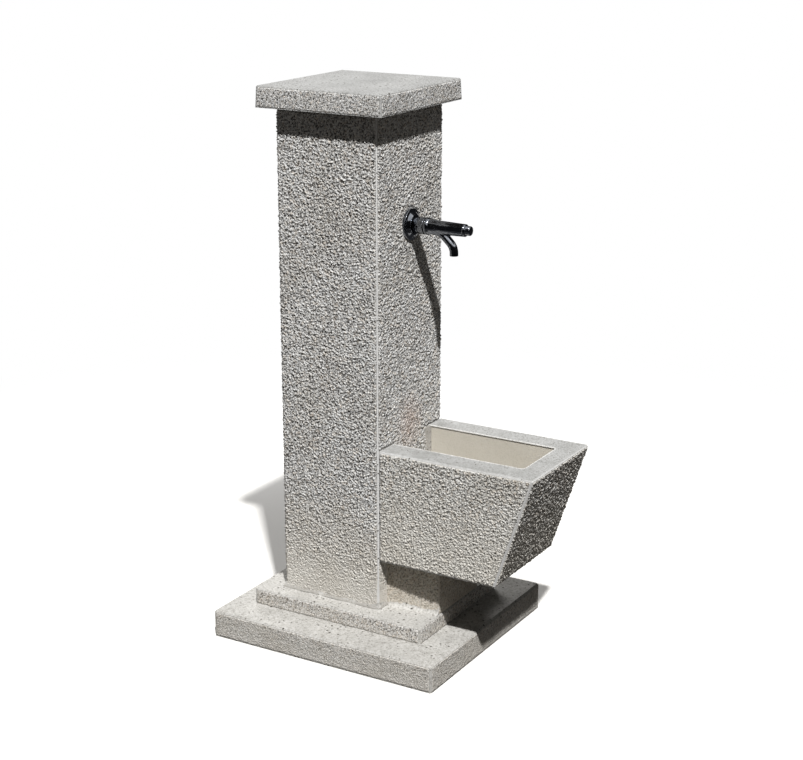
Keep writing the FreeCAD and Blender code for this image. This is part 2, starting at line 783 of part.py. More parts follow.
def waste_backnut():
    body = new_body("waste_backnut", y=WASTE_ROW, z=f"{POCKET_TOP} - waste_washer_height")
    pad(body, hexagon(sketch_on(body, "XY_Plane"), "backnut_flats"), "backnut_height", reverse=True)
    thread = circle(sketch_on(body, "XY_Plane"), "waste_barrel_radius + thread_play")
    cut(body, thread, "backnut_height")


def waste_bend():
    """Drain tube from the waste, bent back under the floor and through the column's wall."""
    body = new_body("waste_bend", z="drain_height")
    top = f"({BASIN_FLOOR} - drain_height - waste_barrel_length + socket_depth)"
    end = f"({CORE_FACE} + elbow_gap + socket_depth - rest_gap)"
    points = [(WASTE_ROW, top), (WASTE_ROW, "drain_bend"), (f"{WASTE_ROW} + drain_bend", "0"), (end, "0")]
    spine = route(sketch_on(body, "YZ_Plane"), points, {1: "drain_bend"})
    sweep(body, spine, "drain_radius")
    sweep(body, spine, "drain_radius - drain_wall", "SubtractivePipe")


def drain_elbow():
    """Push-fit elbow inside the column's core, turning the drain down."""
    body = new_body("drain_elbow", z="drain_height")
    start = f"({CORE_FACE} + elbow_gap)"
    points = [(start, "0"), (f"{PIPE_ROW} - drain_bend", "0"), (PIPE_ROW, "-drain_bend"),
              (PIPE_ROW, "-drain_bend - elbow_leg")]
    spine = route(sketch_on(body, "YZ_Plane"), points, {1: "drain_bend"})
    sweep(body, spine, "drain_radius + socket_wall")
    sweep(body, spine, "drain_radius - drain_wall", "SubtractivePipe")
    socket = circle(sketch_on(body, "XZ_Plane", f"-{start}"), "drain_radius + socket_play")
    cut(body, socket, "socket_depth")
    lower = circle(sketch_on(body, "XY_Plane", "-drain_bend - elbow_leg"),
                   "drain_radius + socket_play", y=PIPE_ROW)
    cut(body, lower, "socket_depth", reverse=True)


def drain_pipe():
    top = "drain_height - drain_bend - elbow_leg + socket_depth - rest_gap"
    bore = "drain_radius - drain_wall"
    turned("drain_pipe", [(bore, "drain_end"), ("drain_radius", "drain_end"),
                          ("drain_radius", top), (bore, top)], upright=True, y=PIPE_ROW)


def supply_riser():
    """Copper riser with an offset bend: down from the tap's elbow, past the drain, to the base."""
    body = new_body("supply_riser", y=RISER_ROW)
    shift_y = f"({PIPE_ROW} - {RISER_ROW})"
    bearing = math.degrees(math.atan2(number(shift_y), -number("riser_side")))
    body.Placement.Rotation = Rotation(Vector(0, 0, 1), bearing)
    offset = f"sqrt(riser_side ^ 2 + {shift_y} ^ 2)"
    lean = f"atan({offset} / (offset_top - offset_bottom))"
    tangent = f"(pipe_bend * tan({lean} / 2))"
    across, along = f"{tangent} * sin({lean})", f"{tangent} * cos({lean})"
    top = "tap_height - branch_drop + pipe_socket_depth - rest_gap"
    foot = "coupling_end + coupling_bore_length + coupling_stop"
    points = [("0", top), ("0", f"offset_top + {tangent}"), (across, f"offset_top - {along}"),
              (f"{offset} - {across}", f"offset_bottom + {along}"),
              (offset, f"offset_bottom - {tangent}"), (offset, foot)]
    spine = route(sketch_on(body, "XZ_Plane"), points, {1: "pipe_bend", 3: "pipe_bend"})
    sweep(body, spine, "pipe_radius")
    sweep(body, spine, "pipe_radius - pipe_wall", "SubtractivePipe")


def inlet_coupling():
    """Brass coupling at the riser's foot, open downwards for the supply."""
    top = "coupling_end + coupling_length"
    step = "coupling_end + coupling_bore_length"
    turned("inlet_coupling", [
        ("coupling_bore", "coupling_end"), ("coupling_radius", "coupling_end"),
        ("coupling_radius", f"{top} - coupling_shoulder"),
        ("coupling_radius - coupling_shoulder", top), ("pipe_radius + socket_play", top),
        ("pipe_radius + socket_play", f"{step} + coupling_stop"), ("waterway", f"{step} + coupling_stop"),
        ("waterway", step), ("coupling_bore", step)],
        upright=True, x="-riser_side", y=PIPE_ROW)


def backplate_elbow():
    """Brass wall elbow: its plate is screwed inside the core, its branch points down."""
    back = f"{BRANCH_ROW} - elbow_boss_radius"
    seat = f"-{CORE_WALL} - extension_tail - rest_gap"
    body, boss = turned("backplate_elbow", [
        ("0", f"-{CORE_WALL}"), ("elbow_boss_radius", f"-{CORE_WALL}"), ("elbow_boss_radius", back),
        ("0", back)])
    plate = sketch_on(body, "XZ_Plane", f"-{CORE_WALL}")
    rectangle(plate, "plate_width", "plate_height")
    for i in (-1, 1):
        circle(plate, "screw_radius + screw_play", f"{i} * plate_screw_spread / 2")
    pad(body, plate, "plate_wall", reverse=True)
    branch = circle(sketch_on(body, "XY_Plane", "-branch_drop"), "branch_radius", y=f"-({BRANCH_ROW})")
    pad(body, branch, "branch_drop")
    bore = [("0", f"-{CORE_WALL}"), ("thread_radius + thread_play", f"-{CORE_WALL}"),
            ("thread_radius + thread_play", seat), ("waterway", seat),
            ("waterway", f"{BRANCH_ROW} - waterway"), ("0", f"{BRANCH_ROW} - waterway")]
    turn(body, outline(sketch_on(body, "XY_Plane"), [(r, f"-({reach})") for r, reach in bore]), "Groove")
    waterway = circle(sketch_on(body, "XY_Plane", "-branch_drop"), "waterway", y=f"-({BRANCH_ROW})")
    cut(body, waterway, "branch_drop", reverse=True)
    socket = circle(sketch_on(body, "XY_Plane", "-branch_drop"), "pipe_radius + socket_play",
                    y=f"-({BRANCH_ROW})")
    cut(body, socket, "pipe_socket_depth", reverse=True)


def compression_nut():
    body = new_body("compression_nut", y=RISER_ROW, z="tap_height - branch_drop + nut_overlap")
    pad(body, hexagon(sketch_on(body, "XY_Plane"), "nut_flats"), "nut_height", reverse=True)
    thread = circle(sketch_on(body, "XY_Plane"), "branch_radius + thread_play")
    cut(body, thread, "nut_overlap + olive_height")
    pipe = circle(sketch_on(body, "XY_Plane"), "pipe_radius + socket_play")
    cut(body, pipe, "nut_height")


def compression_olive():
    bore = "pipe_radius + thread_play"
    turned("compression_olive", [
        (bore, "-olive_height"), ("pipe_radius + olive_edge", "-olive_height"),
        ("olive_radius", "-olive_height / 2"), ("pipe_radius + olive_edge", "0"), (bore, "0")],
        upright=True, y=RISER_ROW, z="tap_height - branch_drop")


def elbow_screws():
    """Two screws through the elbow's plate: turned from one pattern, heads inside the core."""
    screws = []
    for i in (-1, 1):
        shank = doc.addObject("Part::Cylinder", "elbow_screw_shank")
        head = doc.addObject("Part::Cone", "elbow_screw_head")
        seat = f"{CORE_FACE} + plate_wall"
        bind(shank, Radius="screw_radius", Height="plate_screw_length - rest_gap")
        bind(head, Radius1="screw_head_radius", Radius2="screw_head_radius * 0.7",
             Height="screw_head_height")
        for bar, facing in ((shank, Vector(0, -1, 0)), (head, Vector(0, 1, 0))):
            bar.Placement = Placement(Vector(), Rotation(Vector(0, 0, 1), facing))
            bind(bar, Placement__Base__x=f"{i} * plate_screw_spread / 2", Placement__Base__y=seat,
                 Placement__Base__z="tap_height")
        screw = doc.addObject("Part::Fuse", "elbow_screw")
        screw.Base, screw.Tool = shank, head
        screws.append(screw)
    group = doc.addObject("Part::Compound", "elbow_screws")
    group.Links = screws
    keep(group, "elbow_screws")


def pipe_clips():
    """Two rings that hold the riser off the core's side wall."""
    clips = []
    for height in ("clip_low", "clip_high"):
        ring = doc.addObject("Part::Cylinder", "clip_ring")
        bind(ring, Radius="pipe_radius + socket_play + clip_wall", Height="clip_width")
        boss = doc.addObject("Part::Cylinder", "clip_boss")
        boss.Placement = Placement(Vector(), Rotation(Vector(0, 0, 1), Vector(-1, 0, 0)))
        bind(boss, Radius="clip_boss_radius", Height="(core_width / 2 - riser_side) - rest_gap",
             Placement__Base__z="clip_width / 2")
        solid = doc.addObject("Part::Fuse", "clip_blank")
        solid.Base, solid.Tool = ring, boss
        bore = doc.addObject("Part::Cylinder", "clip_bore")
        bind(bore, Radius="pipe_radius + socket_play", Height="clip_width")
        clip = doc.addObject("Part::Cut", "clip")
        clip.Base, clip.Tool = solid, bore
        bind(clip, Placement__Base__x="-riser_side", Placement__Base__y=PIPE_ROW,
             Placement__Base__z=f"{height} - clip_width / 2")
        clips.append(clip)
    group = doc.addObject("Part::Compound", "pipe_clips")
    group.Links = clips
    keep(group, "pipe_clips")


def tap_extension():
    """Brass extension through the column's wall, a thread inside at the face, one outside within."""
    turned("tap_extension", [
        ("waterway", "-tail_length - extension_recess"),
        ("thread_radius + thread_play", "-tail_length - extension_recess"),
        ("thread_radius + thread_play", "-extension_recess"), ("extension_radius", "-extension_recess"),
        ("extension_radius", f"-{CORE_WALL}"), ("thread_radius", f"-{CORE_WALL}"),
        ("thread_radius", f"-{CORE_WALL} - extension_tail"), ("waterway", f"-{CORE_WALL} - extension_tail")])


def wall_washer():
    turned("wall_washer", [
        ("thread_radius + rest_gap", "-extension_recess"), ("wall_washer_radius", "-extension_recess"),
        ("wall_washer_radius", "neck_back"), ("thread_radius + rest_gap", "neck_back")])


def wall_union():
    """Chrome neck with the tail that screws into the wall and the spigot that carries the tap."""
    tip = "neck_front + spigot_length"
    body, neck = turned("wall_union", [
        ("waterway", "-tail_length + rest_gap"), ("thread_radius", "-tail_length + rest_gap"),
        ("thread_radius", "neck_back"), ("neck_radius", "neck_back"), ("neck_radius", "neck_front"),
        ("thread_radius - thread_play", "neck_front"), ("thread_radius - thread_play", tip),
        ("waterway", tip)])
    dress(body, "Fillet", neck, "edge_round", rim_at("neck_radius", "neck_front"))


def union_washer():
    turned("union_washer", [
        ("thread_radius + rest_gap", "neck_front"), ("union_washer_radius", "neck_front"),
        ("union_washer_radius", BODY_BACK), ("thread_radius + rest_gap", BODY_BACK)])


def rosette():
    """Pressed wall plate, thin and stepped, that slides over the neck."""
    bore, sheet_metal = "neck_radius + rosette_play", "rosette_wall"
    crown, step = "rosette_crown_radius", "rosette_step_radius"
    body, plate = turned("rosette", [
        ("rosette_radius", "0"), ("rosette_radius", "rosette_rim"), (step, "rosette_step"),
        (f"{step} - rosette_shoulder", "rosette_step + rosette_shoulder"), (crown, "rosette_rise"),
        (bore, "rosette_rise"), (bore, f"rosette_rise - {sheet_metal}"),
        (f"{crown} - rosette_inset", f"rosette_rise - {sheet_metal}"),
        (f"{step} - rosette_shoulder - {sheet_metal}", f"rosette_step + rosette_shoulder - {sheet_metal}"),
        (f"{step} - {sheet_metal}", f"rosette_step - {sheet_metal}"),
        (f"rosette_radius - {sheet_metal}", f"rosette_rim - {sheet_metal}"),
        (f"rosette_radius - {sheet_metal}", "0")])
    rim, top = rim_at("rosette_radius", "rosette_rim"), rim_at(crown, "rosette_rise")
    dress(body, "Fillet", plate, "edge_round * 1.5", lambda edge: rim(edge) or top(edge))


def tap_body():
    """Cast body: rounded collar, tapering barrel and a bent spout that sweeps out below."""
    collar_front = f"({BODY_BACK} + collar_width)"
    body, casting = turned("tap_body", [
        ("0", BODY_BACK), ("collar_radius", BODY_BACK), ("collar_radius", collar_front),
        ("cone_back_radius", collar_front), ("cone_front_radius", "cone_front"),
        ("barrel_radius", "barrel_front"), ("0", "barrel_front")])
    rounded = dress(body, "Fillet", casting, "collar_round", rim_at("collar_radius", BODY_BACK))
    dress(body, "Fillet", rounded, "edge_round", rim_at("collar_radius", collar_front))

    corner = "(spout_reach - spout_bend)"
    run_out = f"({corner} + spout_bend * sin(spout_angle))"
    drop = f"(({run_out} - spout_root) * tan(spout_angle))"
    low = f"({drop} + spout_bend * cos(spout_angle))"
    meeting = "(spout_root + spout_sink / tan(spout_angle))"
    tangent = "(spout_sweep * tan(spout_angle / 2))"
    outlet = [(f"-{run_out}", f"-{drop}"), ("-spout_reach", f"-{low}"),
              ("-spout_reach", f"-{low} - spout_lip")]
    leaving = [(f"-({meeting} - {tangent} - spout_radius)", "-spout_sink"),
               (f"-({meeting} - {tangent})", "-spout_sink"),
               (f"-({meeting} + {tangent} * cos(spout_angle))",
                f"-(spout_sink + {tangent} * sin(spout_angle))")]
    spine = route(sketch_on(body, "YZ_Plane"), leaving + outlet, {1: "spout_sweep", 3: "spout_bend"})
    tube = sweep(body, spine, "spout_radius")
    dress(body, "Fillet", tube, "spout_crotch", lambda edge: isinstance(edge.Curve, Part.BSplineCurve))

    lip = "seat_back - seat_lip"
    hollow = [("0", BODY_BACK), ("thread_radius", BODY_BACK),
              ("thread_radius", "neck_front + spigot_length"),
              ("chamber_radius", "neck_front + spigot_length"), ("chamber_radius", "seat_back"),
              ("seat_lip_radius", "seat_back"), ("seat_lip_radius", lip), ("orifice_radius", lip),
              ("orifice_radius", SEAT_FRONT), ("barrel_bore", SEAT_FRONT),
              ("barrel_bore", "barrel_front"), ("0", "barrel_front")]
    corners = [(radius, f"-({reach})") for radius, reach in hollow]
    turn(body, outline(sketch_on(body, "XY_Plane"), corners), "Groove")
    inner = [("-(spout_root + seat_clear)", "-(seat_clear * tan(spout_angle))")] + outlet
    bore = route(sketch_on(body, "YZ_Plane"), inner, {1: "spout_bend"})
    sweep(body, bore, "spout_bore", "SubtractivePipe")


def button_ring():
    """Screwed ring at the barrel's mouth: it guides the button and keeps it in."""
    bore = "button_radius + running_gap"
    back = f"{BUTTON_BACK} + flange_height + rest_gap"
    front = "barrel_front + ring_cap_height"
    turned("button_ring", [
        (bore, back), ("barrel_bore - bush_slip", back), ("barrel_bore - bush_slip", "barrel_front"),
        ("barrel_radius", "barrel_front"), ("barrel_radius", f"{front} - ring_cap_chamfer"),
        ("barrel_radius - ring_cap_chamfer", front), (bore, front)])


def stem_guide():
    """Bush that closes the barrel behind the button, grooved for the stem's seal."""
    bore, groove = "stem_radius + running_gap", GUIDE_GROOVE
    middle = f"({GUIDE_FRONT} + guide_back) / 2"
    near_side, far_side = f"{middle} - o_ring_wire - o_ring_play", f"{middle} + o_ring_wire + o_ring_play"
    turned("stem_guide", [
        (bore, "guide_back"), ("barrel_bore - bush_slip", "guide_back"),
        ("barrel_bore - bush_slip", GUIDE_FRONT), (bore, GUIDE_FRONT), (bore, far_side),
        (groove, far_side), (groove, near_side), (bore, near_side)])


def stem_o_ring():
    body = new_tap_body("stem_o_ring")
    middle = f"({GUIDE_FRONT} + guide_back) / 2"
    section = circle(sketch_on(body, "XY_Plane"), "o_ring_wire",
                     "stem_radius + running_gap + o_ring_wire", f"-{middle}")
    turn(body, section)


def push_button():
    """Hollow button with a domed end outside and a stop flange inside the barrel."""
    hollow, tip = BUTTON_HOLLOW, f"{BUTTON_HOLLOW} + stem_tip + rest_gap"
    stem_hole = "stem_tip_radius + thread_play"
    flange_front = f"{BUTTON_BACK} + flange_height"
    body, shell = turned("push_button", [
        ("button_radius - button_wall", BUTTON_BACK), ("flange_radius", BUTTON_BACK),
        ("flange_radius", flange_front), ("button_radius", flange_front),
        ("button_radius", "button_front"), ("0", "button_front"), ("0", tip), (stem_hole, tip),
        (stem_hole, hollow), ("button_radius - button_wall", hollow)])
    dress(body, "Fillet", shell, "button_round", rim_at("button_radius", "button_front"))


def valve_stem():
    """Stem with the valve disc at its inner end and a threaded tip in the button."""
    disc_back = "seat_back - seat_lip - seal_gap - seal_height - disc_height"
    turned("valve_stem", [
        ("0", disc_back), ("disc_radius", disc_back), ("disc_radius", f"{disc_back} + disc_height"),
        ("stem_radius", f"{disc_back} + disc_height"), ("stem_radius", BUTTON_HOLLOW),
        ("stem_tip_radius", BUTTON_HOLLOW), ("stem_tip_radius", f"{BUTTON_HOLLOW} + stem_tip"),
        ("0", f"{BUTTON_HOLLOW} + stem_tip")])


def valve_washer():
    back, front = "seat_back - seat_lip - seal_gap - seal_height", "seat_back - seat_lip - seal_gap"
    turned("valve_washer", [
        ("stem_radius + thread_play", back), ("disc_radius", back), ("disc_radius", front),
        ("stem_radius + thread_play", front)])


def coil_point(radius, pitch, angle):
    """Place and direction on an upright coil, at an angle in radians."""
    rise = pitch / (2 * math.pi)
    place = Vector(radius * math.cos(angle), radius * math.sin(angle), rise * angle)
    return place, Vector(-radius * math.sin(angle), radius * math.cos(angle), rise).normalize()


def biarc(start, heading, end, arriving):
    """Two arcs that leave one point in its direction and reach the next in its own."""
    chord, sum_of_headings = end - start, heading + arriving
    spread = 2 * (1 - heading.dot(arriving))
    along = chord.dot(sum_of_headings)
    handle = (math.sqrt(along ** 2 + spread * chord.dot(chord)) - along) / spread
    controls = (start + heading * handle, end - arriving * handle)
    joint = (controls[0] + controls[1]) / 2
    arcs = []
    for first, control, last in ((start, controls[0], joint), (joint, controls[1], end)):
        middle = (first + last) / 2
        cosine = (last - first).Length / (2 * handle)
        crown = middle + (control - middle) * (cosine / (1 + cosine))
        arcs.append(Part.Arc(first, crown, last).toShape())
    return arcs


def return_spring():
    """Wound wire between the guide and the button's end wall, as one tube along arcs."""
    free = number(f"({BUTTON_HOLLOW} - {GUIDE_FRONT} - 2 * spring_wire - 2 * spring_end_gap)")
    radius, wire, turns = number("spring_radius"), number("spring_wire"), number("spring_turns")
    quarters = round(turns * 4)
    stops = [coil_point(radius, free / turns, i * 2 * math.pi * turns / quarters)
             for i in range(quarters + 1)]
    arcs = [arc for before, after in zip(stops, stops[1:]) for arc in biarc(*before, *after)]
    path = Part.Wire(arcs)
    section = Part.Wire(Part.Circle(stops[0][0], stops[0][1], wire).toShape())
    spring = doc.addObject("Part::Feature", "return_spring")
    spring.Shape = path.makePipeShell([section], True, False)
    place = Vector(0, number(f"{COLUMN_FACE} - {GUIDE_FRONT} - spring_wire - spring_end_gap"),
                   number("tap_height"))
    spring.Placement = Placement(place, Rotation(Vector(0, 0, 1), Vector(0, -1, 0)))
    keep(spring, "return_spring")

    steps_per_turn = 48
    count = round(turns * steps_per_turn)
    points = [coil_point(radius, free / turns, i * 2 * math.pi / steps_per_turn)[0]
              for i in range(count + 1)]
    least = min((points[i] - points[j]).Length for i in range(len(points))
                for j in range(i + steps_per_turn // 2, len(points)))
    pressed = (free - number("travel")) / turns
    swept = math.pi * wire ** 2 * path.Length
    print(f"spring: least gap {least - 2 * wire:.2f} mm at rest, {pressed - 2 * wire:.2f} mm pressed; "
          f"volume {spring.Shape.Volume:.1f} of {swept:.1f} mm3")


def build():
    base_slab()
    plinth_step()
    foot_mortar()
    column()
    column_rods = [(x, y, "slab_height - dowel_in_slab") for x, y in dowel_places()]
    rods("column_dowels", "dowel_radius",
         "dowel_in_slab + plinth_height + bed_depth + dowel_in_column - rest_gap", column_rods)
    cap_mortar()
    column_cap()
    basin()
    basin_rods = [(x, f"{BASIN_BACK} - dowel_in_basin + rest_gap", z) for x, z in basin_dowel_places()]
    rods("basin_dowels", "dowel_radius",
         "dowel_in_basin + bed_depth + dowel_in_wall - 2 * rest_gap", basin_rods, Vector(0, 1, 0))
    basin_mortar()
    basin_seal()
    waste_body()
    strainer_grate()
    strainer_screw()
    waste_washer()
    waste_backnut()
    waste_bend()
    drain_elbow()
    drain_pipe()
    supply_riser()
    inlet_coupling()
    backplate_elbow()
    compression_nut()
    compression_olive()
    elbow_screws()
    pipe_clips()
    stud_places = [("-core_width / 2 - stud_in_wall + rest_gap", PIPE_ROW, height)
                   for height in ("clip_low", "clip_high")]
    rods("clip_studs", "stud_radius", "stud_in_wall - rest_gap", stud_places, Vector(1, 0, 0))
    tap_extension()
    wall_washer()
    wall_union()
    union_washer()
    rosette()
    tap_body()
    button_ring()
    stem_guide()
    stem_o_ring()
    push_button()
    valve_stem()
    valve_washer()
    return_spring()


def check():
    """Stops before anything is written if a feature failed or cut nothing."""
    for thing in doc.Objects:
        if "Invalid" in thing.State or "Error" in thing.State:
            raise RuntimeError(f"{thing.Label} failed: {thing.State}")
    removing = ("PartDesign::Pocket", "PartDesign::Groove", "PartDesign::SubtractivePipe",
                "PartDesign::PolarPattern")
    for thing in doc.Objects:
        if thing.TypeId in removing and thing.Shape.Volume >= thing.BaseFeature.Shape.Volume:
            raise RuntimeError(f"{thing.Label} cuts nothing")
    for thing in subparts:
        if thing.Shape.isNull() or not thing.Shape.isValid() or not thing.Shape.Solids:
            raise RuntimeError(f"{thing.Label} has no sound solid")


build()
doc.recompute()
check()
os.makedirs("parts", exist_ok=True)
for piece in subparts:
    piece.Shape.exportStep(os.path.join("parts", f"{piece.Label}.step"))
print(f"{len(subparts)} sub-parts written")
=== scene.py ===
# %% [markdown]
# # A concrete fountain with a push tap
#
# Five precast castings stand on each other in thin beds of mortar: a base slab, a step, a
# hollow column, a basin and a cap. A chromed push tap is screwed through the column's front.
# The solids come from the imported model. This lesson gives them what the eye needs: worked
# concrete faces with real relief, pores and slurry, and plated metal. It also adds the short
# block that carries the basin and the mortar that was struck round the foot.

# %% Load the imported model
import json
import math

import bmesh
import bpy
import numpy as np
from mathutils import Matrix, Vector


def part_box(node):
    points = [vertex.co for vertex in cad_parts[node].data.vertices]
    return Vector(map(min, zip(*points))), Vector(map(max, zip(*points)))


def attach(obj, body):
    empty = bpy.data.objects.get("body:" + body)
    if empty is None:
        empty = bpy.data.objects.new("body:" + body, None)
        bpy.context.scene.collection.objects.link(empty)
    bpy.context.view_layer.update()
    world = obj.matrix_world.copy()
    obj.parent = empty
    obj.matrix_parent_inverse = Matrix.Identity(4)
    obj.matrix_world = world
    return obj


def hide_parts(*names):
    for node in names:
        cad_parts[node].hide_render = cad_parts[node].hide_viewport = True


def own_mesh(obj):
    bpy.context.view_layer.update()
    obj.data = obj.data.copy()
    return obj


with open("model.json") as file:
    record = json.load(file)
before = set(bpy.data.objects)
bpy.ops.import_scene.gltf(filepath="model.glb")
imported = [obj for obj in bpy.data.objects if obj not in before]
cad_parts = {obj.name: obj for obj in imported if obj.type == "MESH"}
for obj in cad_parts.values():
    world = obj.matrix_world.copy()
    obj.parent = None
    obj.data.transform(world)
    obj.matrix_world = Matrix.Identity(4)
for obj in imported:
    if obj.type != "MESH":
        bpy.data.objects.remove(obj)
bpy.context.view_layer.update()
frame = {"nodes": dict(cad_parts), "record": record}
nodes = frame["nodes"]
MM = 0.001

# %% [markdown]
# ## The camera
#
# A camera was fitted to the edges of the castings in the photograph. It looks down a little
# from the front left. The lens comes from the focal length in pixels, so that the picture
# has the same perspective as the photograph.

# %% Camera
PHOTO_WIDTH = 803
FOCAL_PIXELS = 1705.93
SENSOR_WIDTH = 36.0
CAMERA_BEARING = -59.39
CAMERA_ELEVATION = 16.71
CAMERA_DISTANCE = 3.0666
CAMERA_AIM = Vector((0.0264, -0.0318, 0.4691))


def direction(bearing, elevation):
    """A unit vector from the object towards a bearing (0 is the front) and an elevation."""
    turn, rise = math.radians(bearing), math.radians(elevation)
    flat = math.cos(rise)
    return Vector((math.sin(turn) * flat, -math.cos(turn) * flat, math.sin(rise)))


def aim(thing, place, target):
    """Links a camera or a lamp at its place and turns it to its target."""
    thing.location = place
    thing.rotation_euler = (target - place).to_track_quat("-Z", "Y").to_euler()
    bpy.context.scene.collection.objects.link(thing)
    return thing


lens = bpy.data.cameras.new("camera")
lens.sensor_width = SENSOR_WIDTH
lens.lens = FOCAL_PIXELS / PHOTO_WIDTH * SENSOR_WIDTH
camera_place = CAMERA_AIM + direction(CAMERA_BEARING, CAMERA_ELEVATION) * CAMERA_DISTANCE
bpy.context.scene.camera = aim(bpy.data.objects.new("camera", lens), camera_place, CAMERA_AIM)
bpy.context.scene.view_settings.view_transform = "Standard"
print(f"lens {lens.lens:.1f} mm")

# %% [markdown]
# ## Colours and nodes
#
# Colours are picked in sRGB, as on a paint card, but a shader works in linear light, so one
# function turns a hex code into linear values. Another adds a node: its settings are
# keywords, and its inputs are values, hex colours, or other nodes. Trees that make shapes begin
# with named inputs, and end with instances made real and a finish.


# %% Helpers for node trees
def colour(code):
    """An sRGB hex colour as linear red, green, blue and alpha."""
    parts = [int(code[i:i + 2], 16) / 255 for i in (1, 3, 5)]
    return [p / 12.92 if p <= 0.04045 else ((p + 0.055) / 1.055) ** 2.4 for p in parts] + [1.0]


def set_inputs(tree, node, inputs):
    """Sets inputs by name or number. Each takes a value, a hex colour, another node's output,
    or another node, which stands for its first output."""
    for socket, value in inputs.items():
        if isinstance(value, bpy.types.Node):
            value = value.outputs[0]
        if isinstance(value, bpy.types.NodeSocket):
            tree.links.new(value, node.inputs[socket])
        else:
            is_colour = isinstance(value, str) and value.startswith("#")
            node.inputs[socket].default_value = colour(value) if is_colour else value


def add_node(tree, kind, inputs=None, stops=(), **settings):
    """Adds a node. Stops are (position, hex colour) pairs of a colour ramp."""
    node = tree.nodes.new(kind)
    for name, value in settings.items():
        setattr(node, name, value)
    set_inputs(tree, node, inputs or {})
    for i, (position, code) in enumerate(stops):
        elements = node.color_ramp.elements
        element = elements[i] if i < 2 else elements.new(position)
        element.position, element.color = position, colour(code)
    return node


def new_material(name):
    """A material with its tree, its Principled shader and the object's own coordinates."""
    material = bpy.data.materials.new(name)
    material.use_nodes = True
    tree = material.node_tree
    place = add_node(tree, "ShaderNodeTexCoord").outputs["Object"]
    return material, tree, tree.nodes["Principled BSDF"], place


def shape_tree(name, inputs):
    """An empty Geometry Nodes tree with named inputs of given kinds, and their sockets."""
    tree = bpy.data.node_groups.new(name, "GeometryNodeTree")
    for label, kind in inputs.items():
        tree.interface.new_socket(name=label, in_out="INPUT", socket_type=f"NodeSocket{kind}")
    tree.interface.new_socket(name="Geometry", in_out="OUTPUT", socket_type="NodeSocketGeometry")
    return tree, add_node(tree, "NodeGroupInput").outputs


def finish_tree(tree, shape, finish):
    """The end of a Geometry Nodes tree: instances made real, and the finish on every face."""
    whole = add_node(tree, "GeometryNodeRealizeInstances", {0: shape})
    finished = add_node(tree, "GeometryNodeSetMaterial", {0: whole, "Material": finish})
    add_node(tree, "NodeGroupOutput", {0: finished})
    return tree


def new_object(name, points=(), edges=(), faces=()):
    """An object in the scene, with a mesh of these points, edges and faces."""
    mesh = bpy.data.meshes.new(name)
    mesh.from_pydata(points, edges, faces)
    made = bpy.data.objects.new(name, mesh)
    bpy.context.scene.collection.objects.link(made)
    return made


# %% [markdown]
# ## The studio
#
# The floor is pale. Near the object it is a real surface that takes the shadow, and further
# out it fades to the same white as the world. A small key lamp stands where the sun stood in
# the photograph, high on the front left, so that the tap and every grain throw their shadows
# the same way. The rest of the light comes evenly from the world. Plated metal only looks like
# metal where it has something dark to mirror, so a fence of dark cards stands round the
# fountain, low in front and high behind, on a dark mat. Only mirror rays see them.

# %% Floor, world and lamps
FLOOR_RADIUS = 8.0
FLOOR_SIDES = 96
FLOOR_SINK = 0.2 * MM
FADE_START = 0.45
FADE_END = 1.9
AMBIENT = 0.055
LAMP_TARGET = Vector((0, 0, 0.5))
FENCE_RADIUS = 1.9
FENCE_TURN = 40
FENCE_HEIGHTS = (1.5, 1.5, 3.6, 3.6, 3.6, 3.6, 3.6, 3.6, 1.5)


def white_seen_by_eye(tree):
    """One where a ray comes from the camera, or is a reflection or a refraction."""
    path = add_node(tree, "ShaderNodeLightPath")
    either = add_node(tree, "ShaderNodeMath", {
        0: path.outputs["Is Camera Ray"], 1: path.outputs["Is Glossy Ray"]}, operation="MAXIMUM")
    return add_node(tree, "ShaderNodeMath", {0: either, 1: path.outputs["Is Transmission Ray"]},
                    operation="MAXIMUM")


def pale_floor():
    """Matt seamless paper: pale and soft, with no gloss, fading out to white. It sends less
    light back up than it shows the eye, or its glow would fill the shadows from below."""
    material, tree, shader, place = new_material("matt_seamless_paper")
    seen = add_node(tree, "ShaderNodeLightPath").outputs["Is Camera Ray"]
    paper = add_node(tree, "ShaderNodeMix", {0: seen, 6: "#3e3b37", 7: "#eceae6"}, data_type="RGBA")
    set_inputs(tree, shader, {"Base Color": paper.outputs[2], "Roughness": 0.95})
    radius = add_node(tree, "ShaderNodeVectorMath", {0: place}, operation="LENGTH").outputs["Value"]
    fade = add_node(tree, "ShaderNodeMapRange",
                    {"Value": radius, "From Min": FADE_START, "From Max": FADE_END},
                    interpolation_type="SMOOTHERSTEP")
    factor = add_node(tree, "ShaderNodeMath", {0: fade, 1: white_seen_by_eye(tree)},
                      operation="MULTIPLY")
    white = add_node(tree, "ShaderNodeEmission", {"Color": "#ffffff", "Strength": 1.0})
    mixed = add_node(tree, "ShaderNodeMixShader", {0: factor, 1: shader, 2: white})
    set_inputs(tree, tree.nodes["Material Output"], {"Surface": mixed})
    return material


def even_world():
    """White to the eye and to mirrors, and much weaker as the light on the object."""
    world = bpy.data.worlds.new("even_light")
    world.use_nodes = True
    tree = world.node_tree
    strength = add_node(tree, "ShaderNodeMapRange", {
        "Value": white_seen_by_eye(tree), "To Min": AMBIENT, "To Max": 1.0})
    set_inputs(tree, tree.nodes["Background"], {"Color": "#ffffff", "Strength": strength})
    bpy.context.scene.world = world


def softbox(name, bearing, elevation, distance, width, watts):
    """A square lamp that shines on the middle of the object."""
    lamp = bpy.data.lights.new(name, "AREA")
    lamp.size = width
    lamp.energy = watts
    place = LAMP_TARGET + direction(bearing, elevation) * distance
    aim(bpy.data.objects.new(name, lamp), place, LAMP_TARGET)


